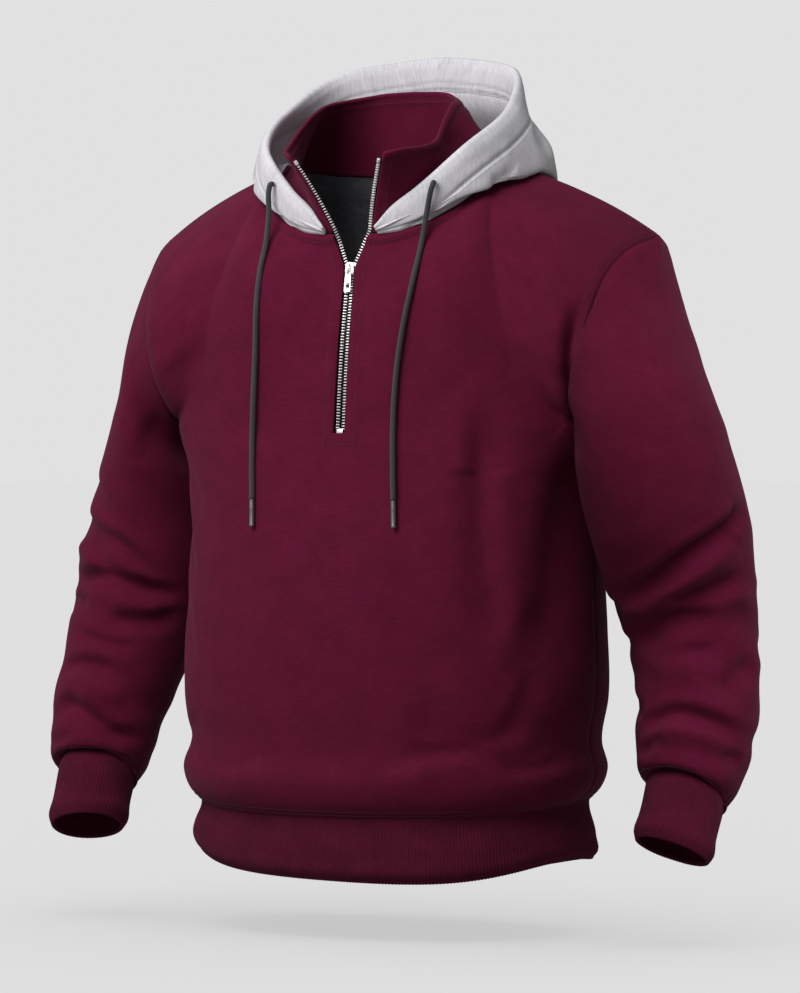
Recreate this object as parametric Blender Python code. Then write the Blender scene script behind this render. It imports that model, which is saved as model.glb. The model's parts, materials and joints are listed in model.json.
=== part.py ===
"""Half-zip hoodie, filled out with nobody in it.

Metres, +Z up, the garment's front towards -Y, the wearer's left towards +X. The origin is
the middle of the wearer's neck at the height where the shoulders carry the garment.

Every panel is a grid of points on the garment's skin, worked out from the tables below, then
given a wall on the inside. Panels that meet at a seam share the skin's normals there and each
stops half a seam gap short, so their walls stay parallel.
"""

from math import pi

import bmesh
import bpy
import numpy as np
from mathutils import Matrix, Vector

# Sizes of the cloth.
FLEECE = 0.0026
OUTSIDE_COLLAR = 0.0034
ABOVE_SEAM = 0.0010
RIB = 0.0032
HOOD_CLOTH = 0.0030
SEAM_GAP = 0.0005

# Heights on the body.
HEM_TOP = -0.641
HEM_BOTTOM = -0.688
ARMPIT = -0.268
SEAM_DROOP = 0.014
BAND_DROOP = 0.013
BACK_DROOP = 0.008
BAND_LEAN = 0.005

# The body below the armpits: one section of the tube a row.
TORSO_COLUMNS = ("height", "half_width", "front_depth", "back_depth")
TORSO = (
    (-0.688, 0.211, 0.151, 0.122),
    (-0.668, 0.210, 0.152, 0.124),
    (-0.641, 0.205, 0.148, 0.124),
    (-0.629, 0.2155, 0.158, 0.136),
    (-0.612, 0.2215, 0.164, 0.145),
    (-0.585, 0.2155, 0.158, 0.141),
    (-0.540, 0.2220, 0.157, 0.144),
    (-0.470, 0.222, 0.152, 0.138),
    (-0.400, 0.219, 0.145, 0.130),
    (-0.330, 0.222, 0.134, 0.126),
    (-0.268, 0.238, 0.123, 0.124),
)
SQUARENESS = 2.25

# Neckline: an oval that dips at the front.
NECK_HALF_WIDTH = 0.122
NECK_HIGH = (0.000, -0.005)
NECK_FRONT = (-0.097, -0.079)
NECK_BACK = (0.062, -0.014)
SHOULDER_TIP = (0.281, 0.024, -0.080)
NECK_SHARE = 0.50

# Edge of the armhole, from the armpit round to the shoulder tip.
ARMHOLE_COLUMNS = ("x", "y", "z")
FRONT_ARMHOLE = (
    (0.2380, 0.000, -0.268),
    (0.2345, -0.050, -0.254),
    (0.2390, -0.078, -0.216),
    (0.2480, -0.077, -0.168),
    (0.2545, -0.056, -0.126),
    (0.2650, -0.024, -0.097),
    (0.2810, 0.024, -0.080),
)
BACK_ARMHOLE = (
    (0.2380, 0.000, -0.268),
    (0.2400, 0.062, -0.250),
    (0.2475, 0.097, -0.208),
    (0.2565, 0.102, -0.160),
    (0.2660, 0.088, -0.116),
    (0.2750, 0.058, -0.091),
    (0.2810, 0.024, -0.080),
)

# A sleeve below its armhole: one ring a row, by its inner and outer side. The left one hangs
# closer to the body.
SLEEVE_COLUMNS = ("inner_x", "inner_z", "outer_x", "outer_z", "y", "half_depth")
SLEEVE_LEFT = (
    (0.2430, -0.290, 0.3000, -0.150, -0.018, 0.088),
    (0.2300, -0.322, 0.3480, -0.230, -0.036, 0.092),
    (0.2320, -0.368, 0.3770, -0.312, -0.022, 0.092),
    (0.2365, -0.422, 0.3830, -0.384, 0.006, 0.078),
    (0.2505, -0.470, 0.3835, -0.450, 0.016, 0.067),
    (0.2640, -0.512, 0.3885, -0.506, 0.010, 0.064),
    (0.2720, -0.562, 0.3915, -0.562, -0.004, 0.061),
    (0.2790, -0.596, 0.3850, -0.600, -0.016, 0.057),
    (0.2860, -0.616, 0.3775, -0.624, -0.025, 0.049),
    (0.2930, -0.622, 0.3710, -0.630, -0.030, 0.040),
)
SLEEVE_RIGHT = (
    (0.2440, -0.290, 0.2900, -0.150, 0.014, 0.082),
    (0.2330, -0.322, 0.3080, -0.230, 0.014, 0.082),
    (0.2340, -0.368, 0.3450, -0.312, 0.024, 0.076),
    (0.2370, -0.422, 0.3670, -0.384, 0.025, 0.071),
    (0.2480, -0.470, 0.3795, -0.450, 0.022, 0.066),
    (0.2600, -0.520, 0.3860, -0.512, 0.010, 0.063),
    (0.2740, -0.562, 0.3895, -0.562, -0.004, 0.059),
    (0.2810, -0.596, 0.3870, -0.602, -0.016, 0.055),
    (0.2880, -0.616, 0.3800, -0.625, -0.025, 0.048),
    (0.2930, -0.622, 0.3710, -0.630, -0.030, 0.040),
)
CUFF = (
    (0.2930, -0.622, 0.3710, -0.630, -0.030, 0.0400),
    (0.2920, -0.649, 0.3700, -0.659, -0.043, 0.0385),
    (0.2890, -0.672, 0.3690, -0.687, -0.055, 0.0370),
)

# Stand collar: its top edge from the zip round to the centre back, by share of the way. Left
# open, its left side has fallen a little lower than its right.
COLLAR_COLUMNS = ("share", "x", "y", "z")
COLLAR_LEFT = (
    (0.00, 0.0550, -0.1305, -0.004),
    (0.06, 0.0650, -0.1200, -0.001),
    (0.17, 0.0780, -0.0910, 0.004),
    (0.30, 0.0810, -0.0610, 0.015),
    (0.39, 0.0795, -0.0430, 0.034),
    (0.48, 0.0775, -0.0240, 0.051),
    (0.66, 0.0660, 0.0120, 0.060),
    (0.80, 0.0420, 0.0360, 0.066),
    (1.00, 0.0000, 0.0430, 0.068),
)
COLLAR_RIGHT = (
    (0.00, 0.0550, -0.1305, -0.004),
    (0.06, 0.0650, -0.1200, -0.001),
    (0.17, 0.0760, -0.0900, 0.010),
    (0.30, 0.0785, -0.0620, 0.029),
    (0.39, 0.0780, -0.0430, 0.041),
    (0.48, 0.0760, -0.0250, 0.050),
    (0.66, 0.0660, 0.0120, 0.060),
    (0.80, 0.0420, 0.0360, 0.066),
    (1.00, 0.0000, 0.0430, 0.068),
)

COLLAR_WAIST = 0.009

# The largest folds: a line of (turn, share) points on a sleeve, half the width of the trough, and
# its depth; a ridge has a negative depth.
FOLDS_LEFT = (
    (((-20, 0.46), (25, 0.462), (58, 0.470), (88, 0.495), (106, 0.528), (124, 0.560)), 0.0160, 0.0060),
    (((20, 0.51), (58, 0.515), (92, 0.545), (116, 0.580), (140, 0.600)), 0.0160, -0.0048),
    (((40, 0.640), (66, 0.630), (90, 0.632), (110, 0.660), (130, 0.690)), 0.0150, 0.0046),
    (((-10, 0.728), (28, 0.766), (50, 0.818)), 0.0150, 0.0050),
    (((-60, 0.900), (-20, 0.890), (30, 0.874), (86, 0.862), (112, 0.872), (140, 0.884)), 0.0130, 0.0052),
    (((-20, 0.470), (-55, 0.490), (-95, 0.486), (-130, 0.510)), 0.0160, 0.0046),
    (((-60, 0.640), (-105, 0.655), (-150, 0.640)), 0.0150, 0.0042),
)
FOLDS_RIGHT = (
    (((6, 0.462), (40, 0.462), (70, 0.463), (94, 0.470), (118, 0.502), (136, 0.542)), 0.0160, 0.0052),
    (((20, 0.512), (50, 0.520), (76, 0.540), (110, 0.545)), 0.0150, -0.0040),
    (((6, 0.595), (50, 0.580), (84, 0.570), (112, 0.568), (144, 0.574)), 0.0150, 0.0048),
    (((0, 0.800), (40, 0.790), (84, 0.780), (104, 0.785), (126, 0.806)), 0.0140, 0.0048),
    (((0, 0.905), (40, 0.895), (76, 0.890), (104, 0.904), (130, 0.925), (156, 0.930)), 0.0130, 0.0052),
    (((-20, 0.455), (-60, 0.476), (-100, 0.480), (-135, 0.500)), 0.0160, 0.0046),
    (((-55, 0.652), (-100, 0.640), (-150, 0.655)), 0.0150, 0.0042),
)

# Hood: its rim from the zip round to the centre back, and how far the cloth between neckline
# and rim reaches outwards and hangs down.
HOOD_COLUMNS = ("share", "rim_x", "rim_y", "rim_z", "reach", "drop")
HOOD = (
    (0.000, 0.0300, -0.1010, -0.0730, 0.000, 0.000),
    (0.060, 0.0420, -0.0985, -0.0590, 0.001, 0.000),
    (0.155, 0.0690, -0.0910, -0.0370, 0.004, 0.001),
    (0.310, 0.1100, -0.0700, 0.0040, 0.014, 0.005),
    (0.470, 0.1280, -0.0200, 0.0380, 0.028, 0.018),
    (0.590, 0.1220, 0.0200, 0.0620, 0.042, 0.030),
    (0.755, 0.0930, 0.0740, 0.090, 0.050, 0.060),
    (0.870, 0.0500, 0.0950, 0.099, 0.085, 0.100),
    (1.000, 0.0000, 0.1000, 0.1040, 0.105, 0.122),
)

HOOD_START = 0.02

# The zip's line of teeth: height, half the opening there, and its place front to back.
ZIP_COLUMNS = ("height", "half_opening")
ZIP_OPENING = ((-0.276, 0.0), (-0.1140, 0.0), (-0.1070, 0.0021), (-0.0980, 0.0068), (-0.0760, 0.0174))
ZIP_BOTTOM = -0.276
CLOTH_TO_TEETH = 0.0062
SLIT = 0.026

# The zip: its strips' reach from the cloth's edge towards the opening, and below the cloth's face.
TAPE_STRIP = ((-0.0016, 0.0025), (-0.0047, -0.0038))
TEETH_STRIP = ((0.0029, 0.0059), (-0.0043, -0.0013))
SLIDER_HEIGHT = -0.1125
PLATE = (0.0096, 0.0130, 0.0014)
PULL_LENGTH = 0.0240
PULL_WIDTH = 0.0072
PULL_THICK = 0.0012
PULL_OUT = 0.0018

SHOULDER_COLUMNS = 5
# Drawcords: from the hood's channel down the chest.
CORD = 0.0054
AGLET = 0.0050
AGLET_LENGTH = 0.027
CORD_LEFT = (
    (0.0886, -0.0921, -0.0288),
    (0.0898, -0.0952, -0.0290),
    (0.0888, -0.0975, -0.0345),
    (0.0845, -0.0962, -0.0500),
    (0.0795, -0.0985, -0.0830),
    (0.0765, -0.1145, -0.1265),
    (0.0690, -0.1190, -0.1665),
    (0.0620, -0.1214, -0.2163),
    (0.0602, -0.1248, -0.2660),
    (0.0625, -0.1300, -0.3040),
    (0.0660, -0.1358, -0.3415),
)
CORD_RIGHT = (
    (-0.0918, -0.0914, -0.0266),
    (-0.0928, -0.0944, -0.0268),
    (-0.0934, -0.0968, -0.0330),
    (-0.0935, -0.0965, -0.0550),
    (-0.0950, -0.0995, -0.0840),
    (-0.0962, -0.1095, -0.1120),
    (-0.0970, -0.1160, -0.1450),
    (-0.0976, -0.1178, -0.1925),
    (-0.0985, -0.1202, -0.2420),
    (-0.0985, -0.1228, -0.2920),
    (-0.0942, -0.1312, -0.3418),
)

FRONT_NECK_COLUMNS = 5
BACK_NECK_COLUMNS = 4
LOW_ROWS = 12
UP_ROWS = 9
SLEEVE_ROWS = 22
CUFF_ROWS = 3
HEM_ROWS = 2
COLLAR_SHARES = 15
COLLAR_ROWS = 4
HOOD_SHARES = 15
HOOD_ROWS = 10


def through(stations, rows, at):
    """Values between the rows of a table, on a smooth curve through all of them."""
    x, y, at = np.asarray(stations, float), np.asarray(rows, float), np.asarray(at, float)
    slope = np.gradient(y, x, axis=0)
    i = np.clip(np.searchsorted(x, at, side="right") - 1, 0, len(x) - 2)
    shape = (-1,) + (1,) * (y.ndim - 1)
    h = (x[i + 1] - x[i]).reshape(shape)
    t = ((at - x[i]) / (x[i + 1] - x[i])).reshape(shape)
    start, end = y[i], y[i + 1]
    return (
        (1 + 2 * t) * (1 - t) ** 2 * start
        + t * (1 - t) ** 2 * h * slope[i]
        + t**2 * (3 - 2 * t) * end
        - t**2 * (1 - t) * h * slope[i + 1]
    )


def along(points, shares):
    """Points at these shares of the length of a smooth curve through the given ones."""
    points = np.asarray(points, float)
    steps = np.linalg.norm(np.diff(points, axis=0), axis=1)
    return through(np.concatenate([[0], np.cumsum(steps)]) / steps.sum(), points, shares)


def smooth_step(t):
    t = np.clip(t, 0, 1)
    return t * t * (3 - 2 * t)


def torso_section(height, s, side):
    """Half a section of the body's tube; s runs from -1 at one side seam to 1 at the other."""
    table = np.array(TORSO)
    width, front, back = through(table[:, 0], table[:, 1:], [height])[0]
    angle = np.asarray(s) * pi / 2
    power = 2 / SQUARENESS
    x = width * np.sign(angle) * np.abs(np.sin(angle)) ** power
    y = side * (front if side < 0 else back) * np.abs(np.cos(angle)) ** power
    return np.column_stack([x, y, np.full(len(x), height)])


def neck_point(turn, side):
    """The neckline from the centre (turn 0) to the high point of the shoulder (turn 1)."""
    y0, z0 = NECK_FRONT if side < 0 else NECK_BACK
    rise = 1 - np.cos(np.asarray(turn) * pi / 2)
    return np.column_stack([
        NECK_HALF_WIDTH * np.sin(np.asarray(turn) * pi / 2),
        y0 + (NECK_HIGH[0] - y0) * rise**1.3,
        z0 + (NECK_HIGH[1] - z0) * rise**1.2,
    ])


def top_edge(s, side):
    """Neckline and shoulder seam, as the upper edge of a body panel."""
    reach = np.abs(s)
    neck = neck_point(np.clip(reach / NECK_SHARE, 0, 1), side)
    share = np.clip((reach - NECK_SHARE) / (1 - NECK_SHARE), 0, 1)[:, None]
    start = np.array([NECK_HALF_WIDTH, *NECK_HIGH])
    shoulder = start + (np.array(SHOULDER_TIP) - start) * share
    shoulder[:, 2] += 0.009 * np.sin(share[:, 0] * pi) * (1 - share[:, 0])
    shoulder[:, 2] += 0.0055 * np.sin(share[:, 0] ** 2 * pi)
    points = np.where(share > 0, shoulder, neck)
    points[:, 0] *= np.sign(s)
    return points


def half_opening(height):
    heights, openings = np.array(ZIP_OPENING).T
    return np.interp(height, heights, openings)


def yoke(s, t, side):
    """The body above the armpits, from its section there (t 0) up to the top edge (t 1)."""
    armpit, top = torso_section(ARMPIT, s, side), top_edge(s, side)
    centre = 1 - np.abs(s)
    seat = smooth_step(np.abs(s) / NECK_SHARE)
    start_slope = np.column_stack([np.zeros_like(s), side * -0.03 * centre, np.full_like(s, 0.34)])
    bend = 0.03 if side < 0 else 0.17
    end_slope = np.column_stack([
        -np.sign(s) * 0.05 * seat * centre,
        -side * (bend + (0.30 - bend) * seat),
        0.26 - 0.10 * seat,
    ])
    return (
        (1 + 2 * t) * (1 - t) ** 2 * armpit
        + t * (1 - t) ** 2 * start_slope
        + t**2 * (3 - 2 * t) * top
        - t**2 * (1 - t) * end_slope
    )


def body_panel(side, s, rows):
    """A body panel as rows of points; a row under 1 is below the armpits, 2 is the top edge."""
    s = np.asarray(s, float)
    armhole = FRONT_ARMHOLE if side < 0 else BACK_ARMHOLE
    outer = smooth_step((np.abs(s) - 0.35) / 0.65)
    trial = np.linspace(0.4, 1, 400)
    grid = []
    for row in rows:
        if row <= 1:
            points = torso_section(HEM_TOP + (ARMPIT - HEM_TOP) * row, s, side)
            if side < 0:
                points[:, 2] -= SEAM_DROOP * np.cos(s * pi / 2) * (1 - row) ** 3
        else:
            edge = along(armhole, [row - 1])[0]
            nearest = np.argmin(np.linalg.norm(yoke(trial, row - 1, side) - edge, axis=1))
            points = yoke(s - np.sign(s) * (1 - trial[nearest]) * outer, row - 1, side)
            shift = (edge - yoke(trial[nearest : nearest + 1], row - 1, side)) * outer[:, None]
            shift[:, 0] *= np.sign(s)
            points = points + shift
        grid.append(points)
    return np.array(grid)


def front_skin(s, rows):
    """The front, its two middle columns drawn apart to the zip's edges; s is the same both ways."""
    front = body_panel(-1, s, rows)
    inner = len(s) // 2
    for row in front:
        edge = half_opening(row[inner, 2]) + CLOTH_TO_TEETH
        share = np.clip(1 - np.abs(s) / 0.4, 0, 1) ** 2
        row[:, 0] += np.sign(s) * (edge - row[inner, 0]) * share
    return front


def sleeve_rings(table, turns):
    """The rings of a table as points; a turn of 180 is the inner side, 90 the front, 0 the outer."""
    rows = np.array(table)
    inner = np.column_stack([rows[:, 0], rows[:, 4], rows[:, 1]])
    outer = np.column_stack([rows[:, 2], rows[:, 4], rows[:, 3]])
    middle = (inner + outer) / 2
    across = (outer - inner) / 2
    down = np.gradient(middle, axis=0)
    front = np.cross(across, down)
    front /= np.linalg.norm(front, axis=1)[:, None]
    front *= -np.sign(front[:, 1:2]) * rows[:, 5:6]
    angle = np.radians(turns)[None, :, None]
    return middle[:, None] + np.cos(angle) * across[:, None] + np.sin(angle) * front[:, None]


def sleeve_grid(loop, turns, rows, table):
    """A sleeve of the left side, from its armhole loop (row 0) down to the cuff (row 1)."""
    rings = np.concatenate([loop[None], sleeve_rings(table, turns)])
    centres = rings.mean(axis=1)
    steps = np.linalg.norm(np.diff(centres, axis=0), axis=1)
    return through(np.concatenate([[0], np.cumsum(steps)]) / steps.sum(), rings, rows)


def folded(grid, normals, turns, shares, folds):
    """The sleeve with its largest folds, each a trough that fades out at both its ends."""
    height = np.zeros(grid.shape[:2])
    round_count = len(turns)
    for line, half_width, depth in folds:
        places = along(line, np.linspace(0, 1, 13))
        columns = np.interp(-places[:, 0], -np.concatenate([turns, turns[:1] - 360]), np.arange(round_count + 1))
        rows = np.interp(places[:, 1], shares, np.arange(len(shares)))
        low_row, low_column = np.floor(rows).astype(int), np.floor(columns).astype(int)
        down, over = (rows - low_row)[:, None], (columns - low_column)[:, None]
        below = np.minimum(low_row + 1, len(shares) - 1)
        left, right = low_column % round_count, (low_column + 1) % round_count
        spots = (
            (grid[low_row, left] * (1 - over) + grid[low_row, right] * over) * (1 - down)
            + (grid[below, left] * (1 - over) + grid[below, right] * over) * down
        )
        fade = smooth_step(np.linspace(0, 1, 13) / 0.28) * smooth_step(np.linspace(1, 0, 13) / 0.28)
        away = np.linalg.norm(grid[:, :, None] - spots, axis=-1)
        nearest = away.argmin(axis=-1)
        reach = away.min(axis=-1) / half_width
        height -= depth * fade[nearest] * (1 - 0.62 * reach**2) * np.exp(-0.66 * reach**2)
    calm = smooth_step((1 - shares) / 0.03) * smooth_step(shares / 0.1)
    return grid + normals * (height * calm[:, None])[..., None]


def collar_grid(shares, rows, top_edge_table):
    """A half of the stand collar as on the left, from the zip (share 0) to the centre back."""
    shares = np.asarray(shares, float)
    base = neckline(shares)
    inner = smooth_step(shares / 0.4)[:, None] * base * (1, 1, 0)
    base = base - 0.0020 * inner / np.linalg.norm(base[:, :2], axis=1)[:, None]
    table = np.array(top_edge_table)
    top = through(table[:, 0], table[:, 1:], shares)
    outward = base * (1, 1, 0)
    outward /= np.linalg.norm(outward, axis=1)[:, None]
    waist = COLLAR_WAIST * smooth_step(shares / 0.10) * (1 - smooth_step((shares - 0.35) / 0.3))
    waist = waist[:, None]
    grid = []
    for row in rows:
        points = base + (top - base) * row - outward * waist * np.sin(row**0.8 * pi)
        points[:, 2] += 0.004 * np.sin(row * pi)
        grid.append(points)
    return np.array(grid)


def neckline(shares):
    """The neckline from the zip (share 0) over the shoulder to the centre back (share 1)."""
    front = neck_point(np.linspace(0.09, 1, 24), -1)
    front[0] = (half_opening(-0.076) + CLOTH_TO_TEETH, NECK_FRONT[0], NECK_FRONT[1] + 0.001)
    back = neck_point(np.linspace(1, 0, 16)[1:], 1)
    return along(np.concatenate([front, back]), shares)


def hood_grid(shares, rows):
    """The left half of the hood, from the neckline (row 0) out, down and up to the rim (row 1)."""
    table = np.array(HOOD)
    base = neckline(HOOD_START + (1 - HOOD_START) * np.asarray(shares))
    rim_x, rim_y, rim_z, reach, drop = through(table[:, 0], table[:, 1:], shares).T
    rim = np.column_stack([rim_x, rim_y, rim_z])
    outward = base * (1, 1, 0) - (0, -0.015, 0)
    outward /= np.linalg.norm(outward, axis=1)[:, None]
    up = np.array([0, 0, 1.0])
    reach, drop = reach[:, None], drop[:, None]
    low = base + 0.15 * (rim - base) + outward * 0.50 * reach + up * (0.002 - 0.55 * drop)
    turn = base + 0.25 * (rim - base) + outward * reach - up * drop
    bulge = base + 0.45 * (rim - base) + outward * 0.82 * reach - up * 0.50 * drop
    stand = 0.38 - 0.30 * smooth_step((np.asarray(shares)[:, None] - 0.48) / 0.34)
    upper = base + 0.75 * (rim - base) + outward * stand * reach - up * 0.12 * drop
    stations = (0, 0.22, 0.42, 0.58, 0.80, 1)
    grid = through(stations, np.array([base, low, turn, bulge, upper, rim]), rows)
    return grid + outward * OUTSIDE_COLLAR + up * ABOVE_SEAM


def mirrored(grid):
    """The same panel on the wearer's right, its columns turned so that it still faces out."""
    return grid[:, ::-1] * (-1, 1, 1)


def skin_normals(panels):
    """Normals at the points of all these grids, shared where grids meet."""
    points, faces, start = [], [], 0
    for grid, closed in panels:
        rows, columns = grid.shape[:2]
        index = start + np.arange(rows * columns).reshape(rows, columns)
        across = np.roll(index, -1, axis=1) if closed else index[:, 1:]
        here = index if closed else index[:, :-1]
        faces.append(np.stack([here[:-1], across[:-1], across[1:], here[1:]], axis=-1).reshape(-1, 4))
        points.append(grid.reshape(-1, 3))
        start += rows * columns
    points, faces = np.concatenate(points), np.concatenate(faces)
    a, b, c, d = (points[faces[:, k]] for k in range(4))
    facing = np.cross(c - a, d - b)
    _, same = np.unique(np.round(points * 1e5).astype(np.int64), axis=0, return_inverse=True)
    same = same.reshape(-1)
    total = np.zeros((same.max() + 1, 3))
    for corner in range(4):
        np.add.at(total, same[faces[:, corner]], facing)
    total /= np.linalg.norm(total, axis=1)[:, None]
    normals, start = [], 0
    for grid, _ in panels:
        count = grid.shape[0] * grid.shape[1]
        normals.append(total[same[start : start + count]].reshape(grid.shape))
        start += count
    return normals


def stop_short(grid, sides, gap=SEAM_GAP / 2):
    """Pulls the named sides of a panel back from the seam."""
    grid = grid.copy()
    for edge, next_in in (((0,), (1,)), ((-1,), (-2,))):
        name = "bottom" if edge == (0,) else "top"
        if name in sides:
            step = grid[next_in[0]] - grid[edge[0]]
            grid[edge[0]] += gap * step / np.linalg.norm(step, axis=1)[:, None]
    for edge, next_in, name in ((0, 1, "start"), (-1, -2, "end")):
        if name in sides:
            step = grid[:, next_in] - grid[:, edge]
            grid[:, edge] += gap * step / np.linalg.norm(step, axis=1)[:, None]
    return grid


def finish(name, hex_colour, roughness, metallic=0.0):
    material = bpy.data.materials.new(name)
    material.use_nodes = True
    shader = material.node_tree.nodes["Principled BSDF"]
    channels = [int(hex_colour[i : i + 2], 16) / 255 for i in (0, 2, 4)]
    linear = [c / 12.92 if c <= 0.04045 else ((c + 0.055) / 1.055) ** 2.4 for c in channels]
    shader.inputs["Base Color"].default_value = (*linear, 1)
    shader.inputs["Roughness"].default_value = roughness
    shader.inputs["Metallic"].default_value = metallic
    return material


def add_mesh(name, points, faces, material):
    mesh = bpy.data.meshes.new(name)
    mesh.from_pydata([tuple(p) for p in points], [], faces)
    mesh.validate()
    mesh.materials.append(material)
    made = bpy.data.objects.new(name, mesh)
    bpy.context.scene.collection.objects.link(made)
    return made


def cloth(name, grid, normals, wall, material, closed=False, missing=()):
    """A panel as a closed wall: its outer face, its inner face and its edges."""
    rows, columns = grid.shape[:2]
    outer = grid.reshape(-1, 3)
    inner = outer - wall * normals.reshape(-1, 3)
    count = len(outer)
    faces, open_edges = [], {}
    for row in range(rows - 1):
        for column in range(columns if closed else columns - 1):
            if (row, column) in missing:
                continue
            right = (column + 1) % columns
            quad = (
                row * columns + column,
                row * columns + right,
                (row + 1) * columns + right,
                (row + 1) * columns + column,
            )
            faces.append(quad)
            faces.append(tuple(count + i for i in reversed(quad)))
            for a, b in zip(quad, quad[1:] + quad[:1]):
                if (b, a) in open_edges:
                    del open_edges[(b, a)]
                else:
                    open_edges[(a, b)] = True
    faces.extend((b, a, count + a, count + b) for a, b in open_edges)
    used = sorted({i for face in faces for i in face})
    place = {old: new for new, old in enumerate(used)}
    points = np.concatenate([outer, inner])[used]
    return add_mesh(name, points, [tuple(place[i] for i in face) for face in faces], material)


def make_cloth(looks):
    """Body, sleeves, cuffs and hem band, whose seams all meet."""
    shoulder = np.linspace(NECK_SHARE, 1, SHOULDER_COLUMNS + 1)
    front_half = np.concatenate([np.linspace(SLIT, NECK_SHARE, FRONT_NECK_COLUMNS + 1)[:-1], shoulder])
    back_half = np.concatenate([np.linspace(0, NECK_SHARE, BACK_NECK_COLUMNS + 1)[1:-1], shoulder])
    front_s = np.concatenate([-front_half[::-1], front_half])
    back_s = np.concatenate([-back_half[::-1], [0], back_half])
    zip_row = (ZIP_BOTTOM - HEM_TOP) / (ARMPIT - HEM_TOP)
    low = np.concatenate([[0, 0.035, 0.085], np.linspace(0.16, zip_row, LOW_ROWS - 3), [1]])
    rows = np.concatenate([low, 1 + np.linspace(0, 1, UP_ROWS + 1)[1:]])
    front = front_skin(front_s, rows)
    back = body_panel(1, back_s, rows)[:, ::-1]

    arm = slice(len(low) - 1, None)
    loop = np.concatenate([front[arm, -1], back[arm, 0][::-1][1:-1]])
    half = UP_ROWS
    turns = np.concatenate([
        np.linspace(180, 0, half + 1), np.linspace(0, -180, half + 1)[1:-1]
    ])
    sleeve_rows = np.concatenate([
        [0, 0.10, 0.20, 0.30, 0.385], np.linspace(0.44, 0.962, SLEEVE_ROWS - 5), [1]
    ])
    sleeves = []
    for table, folds in ((SLEEVE_LEFT, FOLDS_LEFT), (SLEEVE_RIGHT, FOLDS_RIGHT)):
        plain = sleeve_grid(loop, turns, sleeve_rows, table)
        facing = skin_normals([(plain[::-1], True)])[0][::-1]
        sleeves.append(folded(plain, facing, turns, sleeve_rows, folds)[::-1])
    cuff = through((0, 0.5, 1), sleeve_rings(CUFF, turns), np.linspace(0, 1, CUFF_ROWS + 1))[::-1]
    cuffs = [np.concatenate([cuff[:-1], sleeve[:1]]) for sleeve in sleeves]

    hem_s = np.concatenate([front[0], back[0][1:-1]])
    hem = np.array([hem_s + drop for drop in hem_drops(hem_s)])

    panels = {
        "front_body": (front, False),
        "back_body": (back, False),
        "sleeve_left": (sleeves[0], True),
        "sleeve_right": (mirrored(sleeves[1]), True),
        "cuff_left": (cuffs[0], True),
        "cuff_right": (mirrored(cuffs[1]), True),
        "hem_band": (hem, True),
    }
    normals = dict(zip(panels, skin_normals(list(panels.values()))))
    part_underarm(panels, normals, len(low) - 1, turns)
    joined = {
        "front_body": ("bottom", "start", "end", "top"),
        "back_body": ("bottom", "start", "end", "top"),
        "hem_band": ("top",),
        "cuff_left": ("top",),
        "cuff_right": ("top",),
        "sleeve_left": ("bottom", "top"),
        "sleeve_right": ("bottom", "top"),
    }
    centre = len(front_s) // 2 - 1
    zip_start = int(np.argmin(np.abs(rows - zip_row)))
    slit_faces = {(row, centre) for row in range(zip_start, len(rows) - 1)}
    for name, (grid, closed) in panels.items():
        ribbed = name.startswith(("hem", "cuff"))
        cloth(
            name,
            stop_short(grid, joined[name]),
            normals[name],
            RIB if ribbed else FLEECE,
            looks["rib" if ribbed else "fleece"],
            closed,
            slit_faces if name == "front_body" else (),
        )


def part_underarm(panels, normals, armpit_row, turns):
    """Under the arm body and sleeve fold back to back, so there each leans its own wall."""
    body = ("front_body", "back_body", "hem_band")
    own = dict(zip(body, skin_normals([panels[name] for name in body])))
    climb = np.linspace(0, 1, UP_ROWS + 1)
    share = (1 - smooth_step((climb - 0.15) / 0.25))[:, None]
    for name in body[:2]:
        for edge in (0, -1):
            rows = slice(armpit_row, None)
            mixed = own[name][rows, edge] * share + normals[name][rows, edge] * (1 - share)
            normals[name][rows, edge] = mixed / np.linalg.norm(mixed, axis=1)[:, None]
    share = (1 - smooth_step((1 - np.abs(turns) / 180 - 0.15) / 0.25))[:, None]
    for name, weight in (("sleeve_left", share), ("sleeve_right", share[::-1])):
        alone = skin_normals([panels[name]])[0]
        mixed = alone[-1] * weight + normals[name][-1] * (1 - weight)
        normals[name][-1] = mixed / np.linalg.norm(mixed, axis=1)[:, None]


def hem_drops(loop):
    """Steps from the hem seam down to the band's lower edge, bottom row first."""
    drops = []
    for share in np.linspace(1, 0, HEM_ROWS + 1):
        height = HEM_TOP + (HEM_BOTTOM - HEM_TOP) * share
        table = np.array(TORSO)
        size = through(table[:, 0], table[:, 1:], [height, HEM_TOP])
        grow = size[0] / size[1]
        step = np.zeros_like(loop)
        step[:, 0] = loop[:, 0] * (grow[0] - 1)
        step[:, 1] = loop[:, 1] * (np.where(loop[:, 1] < 0, grow[1], grow[2]) - 1)
        front = smooth_step((-loop[:, 1] - 0.05) / 0.10)
        back = smooth_step((loop[:, 1] + 0.06) / 0.14)
        droop = BAND_DROOP * front + BACK_DROOP * back + BAND_LEAN * loop[:, 0] / loop[:, 0].max()
        step[:, 2] = height - HEM_TOP - droop * share
        drops.append(step)
    return drops


def collar_skin(shares, rows):
    """The whole collar where it lies, inside the hood's seam, with its normals."""
    left, right = (collar_grid(shares, rows, table) for table in (COLLAR_LEFT, COLLAR_RIGHT))
    grid = np.concatenate([left, mirrored(right)[:, 1:]], axis=1)
    normals = skin_normals([(grid, False)])[0]
    return grid - 0.0015 * normals + (0, 0, 0.0012), normals


def make_collar(looks):
    shares = np.concatenate([[0, 0.035], np.linspace(0.10, 1, COLLAR_SHARES - 1)])
    grid, normals = collar_skin(shares, np.linspace(0, 1, COLLAR_ROWS + 1))
    cloth("stand_collar", grid, normals, FLEECE, looks["fleece"])


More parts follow.
